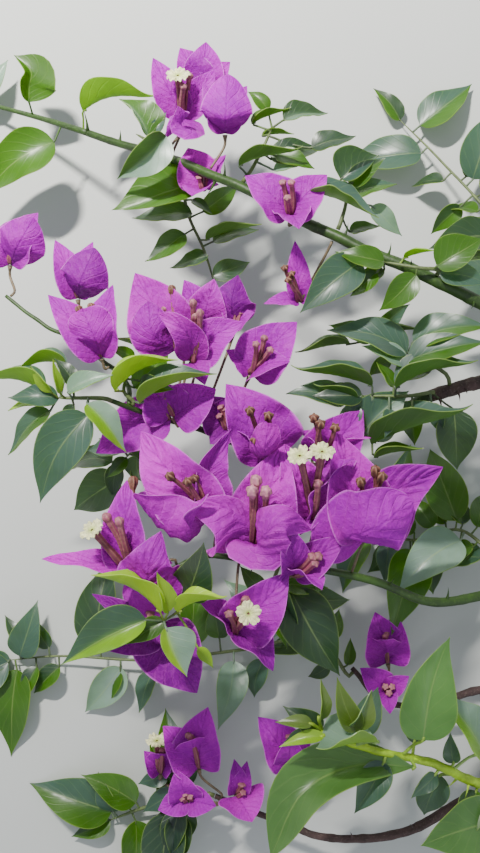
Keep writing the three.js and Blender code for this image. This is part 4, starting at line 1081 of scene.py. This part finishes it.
def bract_material():
    """A papery bract: a net of fine veins, creases with painted highlights on their crests, a deeper midrib and a paler
    rim.
    """
    n = Nodes("bract")
    apart, along = n.blade()
    tint, spots = n.attribute("tint"), n.spots()
    rib = n.ramp(apart, 0.05, 0.012)
    veins = n.side_veins(apart, along, 8.0, 0.34)
    warped = n.noise(160.0, 1.0, output="Color", Vector=spots)
    moved = n.add("VectorMath", {"operation": "MULTIPLY_ADD"}, i0=warped, i1=(0.003,) * 3, i2=spots).outputs[0]
    cells = n.add("TexVoronoi", {"feature": "DISTANCE_TO_EDGE"}, Vector=moved, Scale=300.0).outputs["Distance"]
    net = n.ramp(cells, 0.09, 0.0)
    creases = n.noise(150.0, 4, 0.6, Vector=spots)
    deep = n.mix(1.0, tint, (0.72, 0.5, 0.8, 1), "MULTIPLY")
    pale = n.mix(0.35, tint, (0.95, 0.16, 0.9, 1))
    blotched = n.mix(n.ramp(n.noise(45.0, 2, Vector=spots), 0.35, 0.7), tint, deep)
    # The crests of the creases are painted paler, a painted highlight, while the net and the side veins are paler of
    # their own
    colour = n.coats(blotched, (n.ramp(creases, 0.5, 0.75), 0.55, pale), (net, 0.3, pale), (veins, 0.4, pale),
                     (rib, 0.5, deep), (n.ramp(apart, 0.94, 0.99), 0.7, (0.9, 0.24, 0.9, 1)))
    height = n.plus(n.times(creases, 2.4), n.plus(n.times(net, 0.12), n.times(n.plus(veins, rib), 0.3)))
    return n.finish(colour, 0.5, height, 0.8, 0.001, n.mix(0.5, colour, (0.85, 0.02, 0.7, 1)), Specular_IOR_Level=0.15)


def skin_material(name, rough, strength, scale, pale=(0.5, 0.5, 0.4)):
    """Tinted skin of stems, twigs and flowers, with dark and pale spots and fine relief."""
    n = Nodes(name)
    tint, spots = n.attribute("tint"), n.spots()
    coarse = n.noise(scale, 5, 0.65, Vector=spots)
    fine = n.noise(scale * 6, 3, Vector=spots)
    dark = n.mix(1.0, tint, (0.5, 0.5, 0.5, 1), "MULTIPLY")
    blotched = n.mix(n.ramp(coarse, 0.35, 0.65), dark, tint)
    colour = n.coats(blotched, (n.ramp(fine, 0.55, 0.8), 0.6, n.mix(0.25, tint, (*pale, 1))))
    return n.finish(colour, rough, n.plus(coarse, n.times(fine, 0.4)), strength)


def floor_material():
    n = Nodes("floor")
    return n.finish(n.mix(n.noise(6.0, 2, Vector=n.spots()), (0.44, 0.455, 0.44, 1), (0.48, 0.495, 0.48, 1)), 0.85)


# Stage

def add_thing(name, data, location=(0, 0, 0)):
    thing = bpy.data.objects.new(name, data)
    thing.location = location
    bpy.context.scene.collection.objects.link(thing)
    return thing


def add_camera():
    data = bpy.data.cameras.new("camera")
    data.sensor_width = 36
    data.lens = 50
    across, down, height = FOOTPRINT_MIDDLE
    bpy.context.scene.camera = add_thing("camera", data, (-across * MM, -down * MM, (EYE_HEIGHT - height) * MM))


def add_area(name, location, size, power, colour):
    data = bpy.data.lights.new(name, "AREA")
    data.size = size
    data.energy = power
    data.color = colour
    way = -np.array(location)
    turn = (math.acos(-way[2] / np.linalg.norm(way)), 0, math.atan2(way[0], -way[1]))
    add_thing(name, data, location).rotation_euler = turn


def add_stage():
    floor = bpy.data.meshes.new("floor")
    corners = [(x * FLOOR_REACH, y * FLOOR_REACH, 0) for x, y in ((-1, -1), (1, -1), (1, 1), (-1, 1))]
    floor.from_pydata(corners, [], [(0, 1, 2, 3)])
    floor.materials.append(floor_material())
    ground = add_thing("floor", floor)
    world = bpy.data.worlds.new("studio")
    world.use_nodes = True
    background = world.node_tree.nodes["Background"].inputs
    background[0].default_value = WORLD["colour"]
    background[1].default_value = WORLD["strength"]
    bpy.context.scene.world = world
    for name, lamp in LAMPS.items():
        add_area(name, **lamp)


# The branch

leaf_skin = leaf_material()
bract_skin = bract_material()
cane_skin = skin_material("cane", 0.5, 0.4, 130.0, (0.22, 0.34, 0.06))
bark_skin = skin_material("bark", 0.85, 1.0, 170.0, (0.5, 0.42, 0.34))
twig_skin = skin_material("twig", 0.55, 0.4, 200.0)
tube_skin = skin_material("tube", 0.6, 0.4, 400.0, (0.8, 0.5, 0.5))
star_skin = skin_material("star", 0.6, 0.3, 500.0, (0.95, 0.95, 0.8))

for stem_name, stem in STEMS.items():
    if stem["tint"] in ("bark", "limb"):
        grow_stem(stem_name, stem, WOODY).build(bark_skin, "bark", [stem_name])
    else:
        grow_stem(stem_name, stem, GREEN).build(cane_skin, "green_stem", [stem_name])

tubes, stars, stalks = Piece("flower_tubes"), Piece("flower_stars"), Piece("bloom_stalks")
for cluster, blooms in BLOOMS.items():
    names = [f"{cluster}_{number}" for number in range(1, len(blooms) + 1)]
    shared = Piece(cluster + "_bracts")
    for bloom_name, entry in zip(names, blooms):
        shell = Piece(bloom_name + "_bracts") if cluster == "main_bloom" else shared
        grow_bloom(bloom_name, *entry, shell, tubes, stars, stalks)
        if shell is not shared:
            shell.build(bract_skin, "bract", [bloom_name])
    if shared.skins:
        shared.build(bract_skin, "bract", names)
tubes.build(tube_skin, "bract")
stars.build(star_skin, "bract")
stalks.build(twig_skin, "green_stem")

twigs = Piece("leaf_twigs")
for spray_name in SPRAYS:
    leaves = Piece(spray_name + "_blades")
    grow_spray(spray_name, leaves, twigs)
    leaves.build(leaf_skin, "leaf", [spray_name])
twigs.build(twig_skin, "green_stem")

add_camera()
add_stage()
